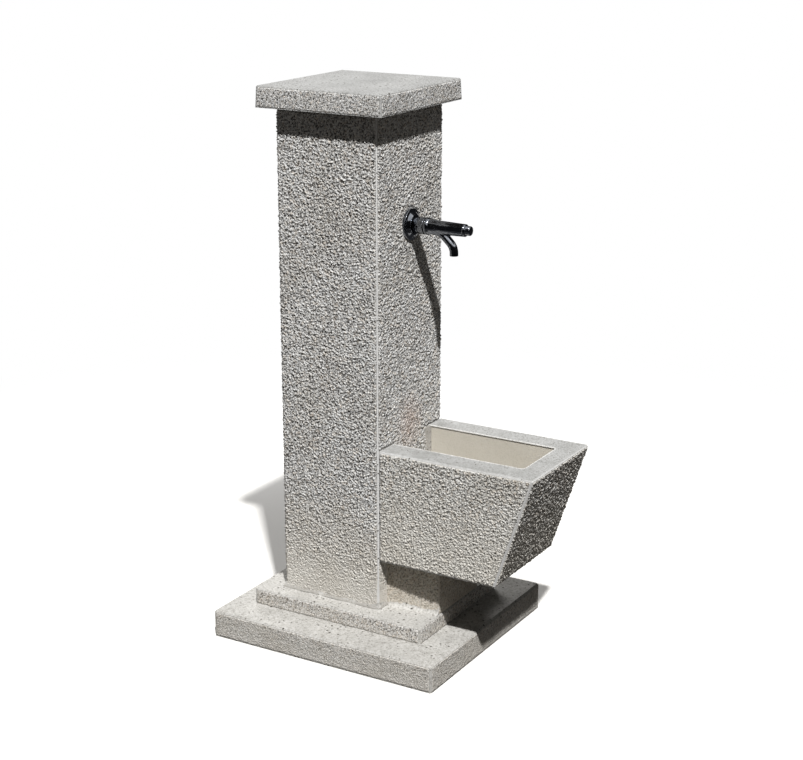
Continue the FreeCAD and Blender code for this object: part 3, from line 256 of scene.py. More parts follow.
def stage_sheet(name, material, corners):
    """A flat sheet through its corners, for the studio: it is not attached to the object."""
    sheet = new_object(name, corners, faces=[list(range(len(corners)))])
    sheet.data.materials.append(material)
    return sheet


def dark_card(name, felt, corners):
    """Black felt on a board, seen only by mirror rays."""
    card = stage_sheet(name, felt, corners)
    for ray in ("camera", "diffuse", "transmission", "volume_scatter", "shadow"):
        setattr(card, f"visible_{ray}", False)


def black_felt():
    """Black felt with soft patches of painted light in its colour, so that a mirror shows no flat
    black.
    """
    material, tree, shader, place = new_material("black_felt")
    nap = add_node(tree, "ShaderNodeTexNoise", {"Vector": place, "Scale": 1.5})
    tone = add_node(tree, "ShaderNodeValToRGB", {0: nap},
                    stops=[(0.35, "#0a0a0c"), (0.65, "#26272b")])
    set_inputs(tree, shader, {"Base Color": tone, "Roughness": 1.0})
    return material


rim_angles = [2 * math.pi * i / FLOOR_SIDES for i in range(FLOOR_SIDES)]
rim = [(FLOOR_RADIUS * math.cos(a), FLOOR_RADIUS * math.sin(a), -FLOOR_SINK) for a in rim_angles]
stage_sheet("floor", pale_floor(), rim)
even_world()
softbox("key", bearing=-50.2, elevation=55.6, distance=30.0, width=0.9, watts=14600)
softbox("back_light", bearing=140, elevation=12, distance=3.5, width=2.0, watts=105)
felt = black_felt()
feet = [direction(FENCE_TURN * (i - 1), 0) * FENCE_RADIUS for i in range(len(FENCE_HEIGHTS) + 1)]
for i, height in enumerate(FENCE_HEIGHTS):
    start, end, raised = feet[i], feet[i + 1], Vector((0, 0, height))
    dark_card(f"dark_card_{i + 1}", felt, [start, end, end + raised, start + raised])
dark_card("dark_mat", felt, [foot + Vector((0, 0, FLOOR_SINK)) for foot in feet[:-1]])

# %% [markdown]
# ## Worked concrete
#
# The column and the basin are cast in a mould and then worked back, so that the grains of
# the aggregate stand out of the cement. Only a narrow band along each arris stays smooth. A
# picture of grain alone would look printed, because on the real thing each grain has a lit
# side and a shadow. So each face gets a thin panel with a fine grid, and a Geometry Nodes
# tree pushes its points out. The panel's edge is sunk into the casting, and the arris beside
# it stays the casting's own.

# %% Panels over the castings' faces
PANEL_SINK = 0.4 * MM
PANEL_LIFT = 0.1 * MM
PANEL_MARGIN = 1.2 * MM
FEWEST_CELLS = 3


def smooth_rise(values, low, high):
    """0 below low, 1 above high, and a soft step between."""
    t = np.clip((values - low) / (high - low), 0, 1)
    return t * t * (3 - 2 * t)


def grid_panel(corners, step, worked):
    """Points, faces and worked share of one panel. Corners go anticlockwise from outside."""
    a, b, c, d = [np.array(corner, float) for corner in corners]
    wide = max(np.linalg.norm(b - a), np.linalg.norm(c - d))
    high = np.linalg.norm(d - a)
    columns, rows = (max(FEWEST_CELLS, round(length / step)) for length in (wide, high))
    u, v = np.meshgrid(np.linspace(0, 1, columns + 1), np.linspace(0, 1, rows + 1))
    u, v = u.ravel()[:, None], v.ravel()[:, None]
    points = (1 - v) * ((1 - u) * a + u * b) + v * ((1 - u) * d + u * c)
    outwards = np.cross(b - a, d - a)
    outwards /= np.linalg.norm(outwards)
    inside = np.minimum(np.minimum(u, 1 - u) * wide, np.minimum(v, 1 - v) * high).ravel()
    share = smooth_rise(inside, 0, PANEL_MARGIN) * worked(points)
    depth = np.where(inside < step / 2, -PANEL_SINK, PANEL_LIFT)
    points = points + outwards * depth[:, None]
    first = np.arange(rows * (columns + 1)).reshape(rows, columns + 1)[:, :-1].ravel()
    faces = np.stack([first, first + 1, first + columns + 2, first + columns + 1], axis=1).tolist()
    bottom = list(range(columns + 1))
    right = [columns + i * (columns + 1) for i in range(1, rows + 1)]
    top = [rows * (columns + 1) + i for i in range(columns - 1, -1, -1)]
    left = [i * (columns + 1) for i in range(rows - 1, 0, -1)]
    faces.append((bottom + right + top + left)[::-1])
    return points, faces, share


def face_panels(name, panels, step, worked):
    """One piece of closed panels, with how far each point is worked in an attribute."""
    points, faces, shares, count = [], [], [], 0
    for corners in panels:
        some_points, some_faces, some_shares = grid_panel(corners, step, worked)
        faces += [[count + i for i in face] for face in some_faces]
        points.append(some_points)
        shares.append(some_shares)
        count += len(some_points)
    piece = new_object(name, np.concatenate(points).tolist(), faces=faces)
    attribute = piece.data.attributes.new("worked", "FLOAT", "POINT")
    attribute.data.foreach_set("value", np.concatenate(shares))
    piece.data.shade_smooth()
    return piece


# %% [markdown]
# The relief is the sum of two patterns. A smooth Voronoi pattern gives domed grains, and a
# fractal noise gives the torn cement between them. A coarser noise makes the face a little
# uneven. The tree also keeps the relief as an attribute, so that the material can darken
# exactly the hollows that the shape has, as painted shade, and lighten its tops, as painted light.


# %% Geometry Nodes: grain relief
# A noise is weaker on a plane that runs along its own grid, so the patterns are turned
PATTERN_TURN = (0.5, 0.7, 0.3)


def grain_tree():
    """Pushes the points of a panel out into grains, torn cement and low lumps."""
    tree, given = shape_tree("worked_grain", {
        "Geometry": "Geometry", "Grain size": "Float", "Grain height": "Float",
        "Tear size": "Float", "Lump size": "Float", "Lump height": "Float", "Finish": "Material"})
    place = add_node(tree, "GeometryNodeInputPosition")
    place = add_node(tree, "ShaderNodeVectorRotate", {"Vector": place, "Rotation": PATTERN_TURN},
                     rotation_type="EULER_XYZ")
    grain = add_node(tree, "ShaderNodeMath", {0: 1.0, 1: given["Grain size"]}, operation="DIVIDE")
    tear = add_node(tree, "ShaderNodeMath", {0: 1.0, 1: given["Tear size"]}, operation="DIVIDE")
    lump = add_node(tree, "ShaderNodeMath", {0: 1.0, 1: given["Lump size"]}, operation="DIVIDE")
    cells = add_node(tree, "ShaderNodeTexVoronoi",
                     {"Vector": place, "Scale": grain, "Smoothness": 0.3}, feature="SMOOTH_F1")
    dome = add_node(tree, "ShaderNodeMapRange", {
        "Value": cells, "From Min": 0.15, "From Max": 0.6, "To Min": 1.0, "To Max": 0.0},
        interpolation_type="SMOOTHSTEP")
    torn = add_node(tree, "ShaderNodeTexNoise", {
        "Vector": place, "Scale": tear, "Detail": 1.0, "Roughness": 0.65})
    lumps = add_node(tree, "ShaderNodeTexNoise", {"Vector": place, "Scale": lump, "Detail": 1.0})
    rough = add_node(tree, "ShaderNodeMapRange", {
        "Value": torn, "From Min": 0.34, "From Max": 0.66})
    relief = add_node(tree, "ShaderNodeMath", {0: dome, 1: 0.4}, operation="MULTIPLY")
    relief = add_node(tree, "ShaderNodeMath", {0: rough, 1: 0.6, 2: relief},
                      operation="MULTIPLY_ADD")
    fine = add_node(tree, "ShaderNodeMath", {0: relief, 1: given["Grain height"]},
                    operation="MULTIPLY")
    height = add_node(tree, "ShaderNodeMath", {0: lumps, 1: given["Lump height"], 2: fine},
                      operation="MULTIPLY_ADD")
    worked = add_node(tree, "GeometryNodeInputNamedAttribute", {"Name": "worked"},
                      data_type="FLOAT").outputs["Attribute"]
    height = add_node(tree, "ShaderNodeMath", {0: height, 1: worked}, operation="MULTIPLY")
    outwards = add_node(tree, "GeometryNodeInputNormal")
    offset = add_node(tree, "ShaderNodeVectorMath", {0: outwards, "Scale": height},
                      operation="SCALE")
    kept = add_node(tree, "GeometryNodeStoreNamedAttribute",
                    {"Geometry": given["Geometry"], "Name": "relief", "Value": relief},
                    data_type="FLOAT", domain="POINT")
    moved = add_node(tree, "GeometryNodeSetPosition", {"Geometry": kept, "Offset": offset})
    return finish_tree(tree, moved, given["Finish"])


def bake(piece, tree, values):
    """Runs a Geometry Nodes tree on a piece and keeps the result as its plain mesh."""
    run = piece.modifiers.new(tree.name, "NODES")
    run.node_group = tree
    for item in tree.interface.items_tree:
        if item.in_out == "INPUT" and item.name in values:
            run[item.identifier] = values[item.name]
    scene_now = bpy.context.evaluated_depsgraph_get()
    mesh = bpy.data.meshes.new_from_object(
        piece.evaluated_get(scene_now), preserve_all_data_layers=True, depsgraph=scene_now)
    piece.modifiers.clear()
    piece.data = mesh
    print(piece.name, len(mesh.polygons), "faces")


GRAIN = grain_tree()

# %% [markdown]
# ## Concrete, worked and smooth
#
# Worked concrete shows grains of pale and brownish stone in a darker cement. Its hollows hold
# dust and are painted darker as painted shade, and the tops of its relief are painted paler as
# painted light. Concrete that was left as it came from the mould is smoother and paler, with
# soft clouds and small round pores where air bubbles sat, painted dark as painted shade. Both
# are dry and matt, with almost no gloss.


# %% Concrete materials
SLURRY_WANDER = 0.05
STAIN_DEPTHS = (4.2 * MM, 3.4 * MM)
STAIN_BELOW_FLOOR = 10 * MM


def worked_concrete(name, shaded_dusty_hollows, body, lit_tops, grain, smooth, low_tone, low_heights, stain=None):
    """Concrete with its aggregate laid bare: grains of several stones, hollows darker with dust
    and painted shade, and tops paler with painted light.
    Between the two low_heights it turns, downwards, to the warmer tone of the slurry at the foot.
    A stain is its place, its reach along each axis and its tone."""
    material, tree, shader, place = new_material(name)
    relief = add_node(tree, "ShaderNodeAttribute", attribute_name="relief").outputs["Fac"]
    worked = add_node(tree, "ShaderNodeAttribute", attribute_name="worked").outputs["Fac"]
    turned = add_node(tree, "ShaderNodeMapping", {"Vector": place, "Rotation": PATTERN_TURN})
    grit = add_node(tree, "ShaderNodeTexNoise", {
        "Vector": turned, "Scale": 1.6 / grain, "Detail": 1.0, "Roughness": 0.6})
    # Each cell of this pattern is a stone of its own kind
    stones = add_node(tree, "ShaderNodeTexVoronoi", {"Vector": place, "Scale": 1 / grain})
    clouds = add_node(tree, "ShaderNodeTexNoise", {"Vector": place, "Scale": 11.0, "Detail": 4.0})
    mixed = add_node(tree, "ShaderNodeMapRange", {"Value": grit, "From Min": 0.3, "From Max": 0.7})
    # Painted shade and painted light: the tone follows the relief, darker in hollows, paler on tops
    level = add_node(tree, "ShaderNodeMix", {0: 0.25, 2: relief, 3: mixed})
    tone = add_node(tree, "ShaderNodeValToRGB", {0: level},
                    stops=[(0.22, shaded_dusty_hollows), (0.42, body), (0.7, lit_tops)])
    stone = add_node(tree, "ShaderNodeSeparateColor", {0: stones.outputs["Color"]})
    kinds = add_node(tree, "ShaderNodeValToRGB", {0: stone},
                     stops=[(0.0, "#dedcd8"), (0.2, "#f0f0f0"), (0.6, "#ffffff"),
                            (0.84, "#f4efe8"), (1.0, "#e2d6ca")])
    tone = add_node(tree, "ShaderNodeMix", {0: 0.8, 6: tone, 7: kinds}, data_type="RGBA",
                    blend_type="MULTIPLY").outputs[2]
    # Here and there a stone has fallen out and left a pit, painted dark as painted shade
    pits = add_node(tree, "ShaderNodeTexVoronoi", {"Vector": place, "Scale": 1 / (5 * grain)})
    painted_pit_shade = add_node(tree, "ShaderNodeMapRange", {
        "Value": pits, "From Min": 0.07, "From Max": 0.11, "To Min": 0.5, "To Max": 0.0})
    tone = add_node(tree, "ShaderNodeMix", {0: painted_pit_shade, 6: tone, 7: "#2e2c2a"},
                    data_type="RGBA").outputs[2]
    shade = add_node(tree, "ShaderNodeValToRGB", {0: clouds},
                     stops=[(0.32, "#f0eeeb"), (0.5, "#faf9f8"), (0.7, "#ffffff")])
    skin = add_node(tree, "ShaderNodeMix", {0: worked, 6: smooth, 7: tone},
                    data_type="RGBA").outputs[2]
    # Slurry has toned the foot, up to a ragged line
    height = add_node(tree, "ShaderNodeSeparateXYZ", {0: place}).outputs["Z"]
    ragged = add_node(tree, "ShaderNodeMath", {0: clouds, 1: SLURRY_WANDER, 2: height},
                      operation="MULTIPLY_ADD")
    start, end = (z + SLURRY_WANDER / 2 for z in low_heights)
    low = add_node(tree, "ShaderNodeMapRange", {
        "Value": ragged, "From Min": start, "From Max": end, "To Min": 1.0, "To Max": 0.0},
        interpolation_type="SMOOTHSTEP")
    low = add_node(tree, "ShaderNodeMath", {0: low, 1: 0.65}, operation="MULTIPLY")
    skin = add_node(tree, "ShaderNodeMix", {0: low, 6: skin, 7: low_tone},
                    data_type="RGBA").outputs[2]
    skin = add_node(tree, "ShaderNodeMix", {0: 1.0, 6: skin, 7: shade}, data_type="RGBA",
                    blend_type="MULTIPLY").outputs[2]
    if stain:
        middle, reach, stain_tone = stain
        offset = add_node(tree, "ShaderNodeMapping", {
            "Vector": place, "Location": middle, "Scale": reach}, vector_type="TEXTURE")
        far = add_node(tree, "ShaderNodeVectorMath", {0: offset},
                       operation="LENGTH").outputs["Value"]
        ragged = add_node(tree, "ShaderNodeMath", {0: clouds, 1: 0.8, 2: far},
                          operation="MULTIPLY_ADD")
        near = add_node(tree, "ShaderNodeMapRange", {
            "Value": ragged, "From Min": 0.6, "From Max": 1.5, "To Min": 0.45, "To Max": 0.0})
        skin = add_node(tree, "ShaderNodeMix", {0: near, 6: skin, 7: stain_tone},
                        data_type="RGBA").outputs[2]
    bump = add_node(tree, "ShaderNodeBump", {
        "Height": grit, "Strength": 1.0, "Distance": 0.7 * grain})
    set_inputs(tree, shader, {
        "Base Color": skin, "Normal": bump, "Roughness": 0.92, "Specular IOR Level": 0.25})
    return material


def smooth_concrete(name, light, dark, pore_spacing, grit_size, tan=None):
    """Concrete as it left the mould: cloudy, with sand grit and small round air pores, painted dark
    as painted shade.
    With a tan, the trough is stained inside by standing water, and the upright arrises outside it
    are painted paler as painted light."""
    material, tree, shader, place = new_material(name)
    clouds = add_node(tree, "ShaderNodeTexNoise", {
        "Vector": place, "Scale": 16.0, "Detail": 6.0, "Roughness": 0.62})
    # Sand is finer than a pixel here, so the grit is drawn coarser than the real half millimetre
    grit = add_node(tree, "ShaderNodeTexNoise", {
        "Vector": place, "Scale": 1 / grit_size, "Detail": 3.0, "Roughness": 0.8})
    pores = add_node(tree, "ShaderNodeTexVoronoi", {"Vector": place, "Scale": 1 / pore_spacing})
    open_pores = add_node(tree, "ShaderNodeMapRange", {
        "Value": clouds, "From Min": 0.4, "From Max": 0.6, "To Min": 0.05, "To Max": 0.2})
    shaded_pore = add_node(tree, "ShaderNodeMath", {0: pores, 1: open_pores}, operation="LESS_THAN")
    tone = add_node(tree, "ShaderNodeValToRGB", {0: clouds}, stops=[(0.3, dark), (0.62, light)])
    sand = add_node(tree, "ShaderNodeValToRGB", {0: grit},
                    stops=[(0.3, "#85817b"), (0.46, "#e6e5e2"), (0.62, "#ffffff")])
    skin = add_node(tree, "ShaderNodeMix", {0: 0.9, 6: tone, 7: sand}, data_type="RGBA",
                    blend_type="MULTIPLY").outputs[2]
    if tan:
        # Inside the trough is between its walls, under the rim, over the floor, behind the front
        parts = add_node(tree, "ShaderNodeSeparateXYZ", {0: place}).outputs
        beside = add_node(tree, "ShaderNodeMath", {0: parts["X"]}, operation="ABSOLUTE")
        within = add_node(tree, "ShaderNodeMath", {0: beside, 1: TROUGH_HALF_WIDTH},
                          operation="LESS_THAN")
        full, none = (RIM_HEIGHT - depth for depth in STAIN_DEPTHS)
        deep = add_node(tree, "ShaderNodeMapRange", {
            "Value": parts["Z"], "From Min": full, "From Max": none, "To Min": 1.0, "To Max": 0.0})
        above = add_node(tree, "ShaderNodeMath", {
            0: parts["Z"], 1: TROUGH_FLOOR - STAIN_BELOW_FLOOR}, operation="GREATER_THAN")
        leaning = add_node(tree, "ShaderNodeMath", {0: parts["Z"], 1: FRONT_LEAN, 2: parts["Y"]},
                           operation="MULTIPLY_ADD")
        behind = add_node(tree, "ShaderNodeMath", {0: leaning, 1: FRONT_LINE},
                          operation="GREATER_THAN")
        mask = within
        for other in (deep, above, behind):
            mask = add_node(tree, "ShaderNodeMath", {0: mask, 1: other}, operation="MULTIPLY")
        stained = add_node(tree, "ShaderNodeMath", {0: mask, 1: 0.7}, operation="MULTIPLY")
        skin = add_node(tree, "ShaderNodeMix", {0: stained, 6: skin, 7: tan},
                        data_type="RGBA").outputs[2]
        shaded_pore = add_node(tree, "ShaderNodeMath", {0: shaded_pore, 1: mask}, operation="SUBTRACT",
                        use_clamp=True)
        # The upright faces outside it that still show are arrises; they are painted paler, as
        # painted light
        facing = add_node(tree, "ShaderNodeNewGeometry").outputs["True Normal"]
        rise = add_node(tree, "ShaderNodeSeparateXYZ", {0: facing}).outputs["Z"]
        rise = add_node(tree, "ShaderNodeMath", {0: rise}, operation="ABSOLUTE")
        steep = add_node(tree, "ShaderNodeMapRange", {
            "Value": rise, "From Min": 0.5, "From Max": 0.8, "To Min": 1.0, "To Max": 0.0})
        arris_light = add_node(tree, "ShaderNodeMath", {0: steep, 1: mask}, operation="SUBTRACT",
                          use_clamp=True)
        skin = add_node(tree, "ShaderNodeMix", {0: arris_light, 6: skin, 7: "#cdccca"},
                        data_type="RGBA").outputs[2]
    # Painted shade: the pores are painted dark
    skin = add_node(tree, "ShaderNodeMix", {0: shaded_pore, 6: skin, 7: "#57544e"},
                    data_type="RGBA").outputs[2]
    height = add_node(tree, "ShaderNodeMath", {0: grit, 1: shaded_pore}, operation="SUBTRACT")
    bump = add_node(tree, "ShaderNodeBump", {
        "Height": height, "Strength": 0.8, "Distance": 0.2 * grit_size})
    set_inputs(tree, shader, {
        "Base Color": skin, "Normal": bump, "Roughness": 0.88, "Specular IOR Level": 0.3})
    return material


# %% [markdown]
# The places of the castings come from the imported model. Only the basin's sloping front can't be
# read from a box, so its foot, its lean and its wall are given here.

# %% Places and finishes of the castings
column_low, column_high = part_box("column")
basin_low, basin_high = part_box("basin")
seal_low, seal_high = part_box("basin_seal")
rosette_low, rosette_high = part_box("rosette")
FACE_Y = column_low[1]
FOOT_Z = column_low[2]
TAP_Z = (rosette_low[2] + rosette_high[2]) / 2
ROSETTE_RADIUS = (rosette_high[0] - rosette_low[0]) / 2
RIM_HEIGHT = basin_high[2]
TROUGH_FLOOR = seal_low[2]
NEARBY = 1 * MM
TROUGH_HALF_WIDTH = seal_high[0] + NEARBY
BASIN_FOOT_Y = -0.296
FRONT_LEAN = 1 / 3
FRONT_WALL = 20 * MM
FRONT_LINE = BASIN_FOOT_Y + FRONT_LEAN * basin_low[2] + FRONT_WALL

GRAIN_SIZE = 4.2 * MM
FINE_GRAIN_SIZE = 3 * MM
# Where the jet splashes the column: place, reach and tone
SPLASH = ((-0.005, FACE_Y, RIM_HEIGHT + 0.03), (0.05, 0.05, 0.06), "#c9b4a8")
# Each worked finish lists hollows, body and tops: the hollows are dust and painted shade, the tops
# painted light
column_finish = worked_concrete("worked_column_concrete", "#646260", "#d5d5d4", "#ebebe9",
                                GRAIN_SIZE, "#cfcecb", "#dcd7cd", (FOOT_Z + 0.02, FOOT_Z + 0.24),
                                SPLASH)
basin_finish = worked_concrete("worked_basin_concrete", "#63615d", "#d6d5d1", "#ebe9e5",
                               GRAIN_SIZE, "#cfceca", "#d8d4cb", (basin_low[2], RIM_HEIGHT))
washed_finish = worked_concrete("washed_concrete", "#6a6661", "#d2d0cc", "#e6e3df",
                                FINE_GRAIN_SIZE, "#d0cecb", "#d3cfc7", (0.0, 0.09))
support_finish = worked_concrete("block_concrete", "#8b8478", "#d0cabf", "#e0dbd2",
                                 FINE_GRAIN_SIZE, "#cbc4b8", "#d2cbbf", (0.0, 0.19))
# These heights are under the ground, so the cap has no slurry
cap_finish = worked_concrete("worked_cap_concrete", "#5e5d5b", "#d0d0cf", "#e9e9e8",
                             FINE_GRAIN_SIZE, "#cbcac7", "#cbcac7", (-1.0, -0.5))
cast_finish = smooth_concrete("cast_concrete", "#b4b4b3", "#a0a09e", 9 * MM, 3 * MM, tan="#d3ccbd")
top_finish = smooth_concrete("trowelled_concrete", "#c3c1bd", "#b3b1ad", 11 * MM, 4 * MM)
cap_top_finish = smooth_concrete("capping_concrete", "#b3b3b2", "#a0a09f", 12 * MM, 4 * MM)


# %% [markdown]
# Not all of a face is worked alike. At the column's foot, slurry ran down and filled the
# hollows, and a smooth smear of it sits on the front left corner. Round the tap's wall plate
# the face is flatter, because the plate had to seat. The line where the slurry ends wanders.


# %% How far each point of the column is worked
SLURRY_FILL = 0.6
SLURRY_LINE = (10 * MM, 100 * MM)
SLURRY_EDGE = 6 * MM
SMEAR_WIDTH = 24 * MM
SMEAR_HEIGHT = 62 * MM
SMEAR_EDGE = (0.75, 1.1)
SEAT_MARGINS = (0.5 * MM, 4.5 * MM)


def column_worked(points):
    """The share of the full relief: less in the slurry and none under the smear and the plate."""
    x, y, z = points.T
    wander = np.sin(90 * (x + y)) + 0.7 * np.sin(210 * (x - y) + 1) + 0.5 * np.sin(430 * (x + y))
    rise = z - FOOT_Z + SLURRY_EDGE * wander
    share = 1 - SLURRY_FILL + SLURRY_FILL * smooth_rise(rise, *SLURRY_LINE)
    from_corner = np.maximum(x - column_low[0], y - FACE_Y)
    smear = from_corner / SMEAR_WIDTH + (z - FOOT_Z) / SMEAR_HEIGHT
    share = share * smooth_rise(smear, *SMEAR_EDGE)
    on_front = y < FACE_Y + NEARBY
    from_plate = np.hypot(x, z - TAP_Z) - ROSETTE_RADIUS
    seat = smooth_rise(from_plate, *SEAT_MARGINS)
    return np.where(on_front, share * seat, share)


def fully_worked(points):
    return np.ones(len(points))


# %% Column faces
COLUMN_STEP = 1.32 * MM
# The widest face takes a slightly coarser grid, to stay under 200,000 triangles
BACK_STEP = 1.4 * MM
COARSE_GRAIN = {"Grain size": GRAIN_SIZE, "Tear size": 2.5 * MM, "Lump size": 16 * MM,
                "Lump height": 0.3 * MM}
GRAIN_HEIGHT = 3.6 * MM
ARRIS = 2.4 * MM
# How far a worked face ends from what is next to it, and reaches up behind its neighbour
FOOT_GAP = 2 * MM
JOINT_GAP = 1.5 * MM
TROUGH_GAP = 3 * MM
SEAL_GAP = 6 * MM
TROUGH_LAP = 16 * MM


def upright(start, end, low_z, high_z):
    """The corners of an upright panel that runs from start to end, as seen from outside."""
    return [(*start, low_z), (*end, low_z), (*end, high_z), (*start, high_z)]


left, right = column_low[0], column_high[0]
front, back = column_low[1], column_high[1]
low, high = FOOT_Z + FOOT_GAP, column_high[2] - JOINT_GAP
near_y, far_y = front + ARRIS, back - ARRIS
near_x, far_x = left + ARRIS, right - ARRIS
trough_x = TROUGH_HALF_WIDTH - TROUGH_GAP
column_panels = {
    "column_left_face": [upright((left, far_y), (left, near_y), low, high)],
    "column_right_face": [upright((right, near_y), (right, far_y), low, high)],
    "column_back_face": [upright((far_x, back), (near_x, back), low, high)],
    "column_front_face": [
        upright((near_x, front), (far_x, front), RIM_HEIGHT + JOINT_GAP, high),
        upright((near_x, front), (far_x, front), low, basin_low[2] - JOINT_GAP),
        upright((-trough_x, front), (trough_x, front), TROUGH_FLOOR + SEAL_GAP,
                RIM_HEIGHT + TROUGH_LAP)],
}
for name, panels in column_panels.items():
    step = BACK_STEP if name == "column_back_face" else COLUMN_STEP
    piece = face_panels(name, panels, step, column_worked)
    bake(piece, GRAIN, {**COARSE_GRAIN, "Grain height": GRAIN_HEIGHT, "Finish": column_finish})
    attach(piece, "fountain")

# %% [markdown]
# The basin's sides and its sloping front are worked in the same way. A wider smooth band runs
# under the rim, and the rim itself is left as cast.


# %% Basin faces
BASIN_GRAIN_HEIGHT = 0.9 * GRAIN_HEIGHT
BASIN_ARRIS = 3.2 * MM
BASIN_FOOT_GAP = 3 * MM
BASIN_BACK_GAP = 4 * MM
BASIN_SIDE_GAP = 3.4 * MM

bottom, top = basin_low[2] + BASIN_FOOT_GAP, RIM_HEIGHT - BASIN_ARRIS
basin_back = FACE_Y - BASIN_BACK_GAP
side_left, side_right = basin_low[0], basin_high[0]
slope_left, slope_right = side_left + BASIN_ARRIS, side_right - BASIN_ARRIS
slope = [BASIN_FOOT_Y - FRONT_LEAN * (z - basin_low[2]) for z in (bottom, top)]
side = [(basin_back, bottom), (slope[0] + BASIN_SIDE_GAP, bottom),
        (slope[1] + BASIN_SIDE_GAP, top), (basin_back, top)]
basin_panels = [
    [(side_left, *side[i]) for i in (0, 1, 2, 3)],
    [(side_right, *side[i]) for i in (1, 0, 3, 2)],
    [(slope_left, slope[0], bottom), (slope_right, slope[0], bottom), (slope_right, slope[1], top),
     (slope_left, slope[1], top)],
]
piece = face_panels("basin_faces", basin_panels, COLUMN_STEP, fully_worked)
bake(piece, GRAIN, {**COARSE_GRAIN, "Grain height": BASIN_GRAIN_HEIGHT, "Finish": basin_finish})
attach(piece, "fountain")

# %% [markdown]
# Along the trough's inner edge the mould left a small round lip. It is painted pale, as a
# painted highlight along the edge. It follows the edge, so a curve through the edge's own points
# carries a round profile: Curve to Mesh sweeps it, and the lip stays one closed piece.


# %% Geometry Nodes: lip along an edge
LIP_RADIUS = 1.5 * MM
LIP_SINK = 0.9 * MM
LIP_SIDES = 12


def lip_tree():
    """Sweeps a round profile along the edges that it is given."""
    tree, given = shape_tree("round_lip", {"Geometry": "Geometry", "Lip radius": "Float",
                                           "Finish": "Material"})
    path = add_node(tree, "GeometryNodeMeshToCurve", {"Mesh": given["Geometry"]})
    section = add_node(tree, "GeometryNodeCurvePrimitiveCircle",
                       {"Resolution": LIP_SIDES, "Radius": given["Lip radius"]})
    lip = add_node(tree, "GeometryNodeCurveToMesh", {0: path, 1: section, "Fill Caps": True})
    return finish_tree(tree, lip, given["Finish"])


# Painted highlight: the lip's concrete is paler than the casting's
lip_highlight_finish = smooth_concrete("lip_highlight_concrete", "#dcdbd9", "#c9c8c5", 20 * MM, 3 * MM)
edge = {(round(point.co.x, 5), round(point.co.y, 5)) for point in nodes["basin"].data.vertices
        if point.co.z > RIM_HEIGHT - LIP_SINK and abs(point.co.x) < TROUGH_HALF_WIDTH + NEARBY}
centre_y = (min(y for x, y in edge) + FACE_Y) / 2
edge = sorted(edge, key=lambda place: math.atan2(place[0], centre_y - place[1]))
lip = new_object("trough_lip", [(x, y, RIM_HEIGHT - LIP_SINK) for x, y in edge],
                 [(i, i + 1) for i in range(len(edge) - 1)])
bake(lip, lip_tree(), {"Lip radius": LIP_RADIUS, "Finish": lip_highlight_finish})
lip.data.shade_smooth()
print(len(edge), "points along the trough's edge, from", edge[0], "to", edge[-1])
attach(lip, "fountain")

# %% [markdown]
# The sides of the slab, the step and the cap are only washed: the grains are finer and stand
# out less. All four sides of a casting are one piece.


# %% Washed sides of slab, step and cap
def side_panels(node, low_z, arris, lean):
    """The four sides of a block from low_z up, short of its arrises, leaning in over its height."""
    low_corner, high_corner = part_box(node)
    rise = high_corner[2] - low_corner[2]
    rings = []
    for z in (low_z, high_corner[2] - arris):
        shift = lean * (z - low_corner[2]) / rise
        x0, x1 = low_corner[0] + shift, high_corner[0] - shift
        y0, y1 = low_corner[1] + shift, high_corner[1] - shift
        rings.append([((x0 + arris, y0, z), (x1 - arris, y0, z)),
                      ((x1, y0 + arris, z), (x1, y1 - arris, z)),
                      ((x1 - arris, y1, z), (x0 + arris, y1, z)),
                      ((x0, y1 - arris, z), (x0, y0 + arris, z))])
    return [[*below, above[1], above[0]] for below, above in zip(*rings)]


WASHED_STEP = 1.5 * MM
FINE_GRAIN = {**COARSE_GRAIN, "Grain size": FINE_GRAIN_SIZE, "Lump size": 12 * MM}
# Node, its underside, gap above that, arris left plain, lean, slot, finish, grain height
washed = {
    "slab_sides": ("base_slab", 0.0, 1.5 * MM, 3.6 * MM, 0.0, "base_concrete", washed_finish,
                   1.3 * MM),
    "step_sides": ("plinth_step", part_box("plinth_step")[0][2], 0.6 * MM, 3.1 * MM, 0.0,
                   "base_concrete", washed_finish, 1.3 * MM),
    "cap_sides": ("column_cap", column_high[2], 3.8 * MM, 2.6 * MM, 1.6 * MM, "cap_concrete",
                  cap_finish, 2.0 * MM),
}
for name, (node, underside, gap, arris, lean, slot, finish, grain_height) in washed.items():
    panels = side_panels(node, underside + gap, arris, lean)
    piece = face_panels(name, panels, WASHED_STEP, fully_worked)
    bake(piece, GRAIN, {**FINE_GRAIN, "Grain height": grain_height, "Finish": finish})
    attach(piece, "fountain")

# %% [markdown]
# A short block of the same washed concrete carries the basin. It stands on the step, flush
# with its front, and narrows a little towards it.


# %% Block under the basin
SUPPORT_BACK = 81 * MM
SUPPORT_FRONT = 70 * MM
SUPPORT_SINK = 0.5 * MM
SUPPORT_ARRIS = 0.8 * MM
SUPPORT_SETBACK = 1.5 * MM
SUPPORT_LAP = 1 * MM
SUPPORT_GRAIN_HEIGHT = 0.9 * MM
step_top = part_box("plinth_step")[1][2]
support_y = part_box("plinth_step")[0][1] + SUPPORT_SETBACK
support_heights = (step_top - SUPPORT_SINK, basin_low[2] + SUPPORT_SINK)
plan = [Vector(corner) for corner in (
    (-SUPPORT_BACK, FACE_Y + SUPPORT_LAP), (-SUPPORT_FRONT, support_y), (SUPPORT_FRONT, support_y),
    (SUPPORT_BACK, FACE_Y + SUPPORT_LAP))]


def plain_piece(name, points, faces, finish):
    """A piece of given points and faces that belongs to the fountain."""
    piece = new_object(name, points, faces=faces)
    piece.data.materials.append(finish)
    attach(piece, "fountain")
    return piece


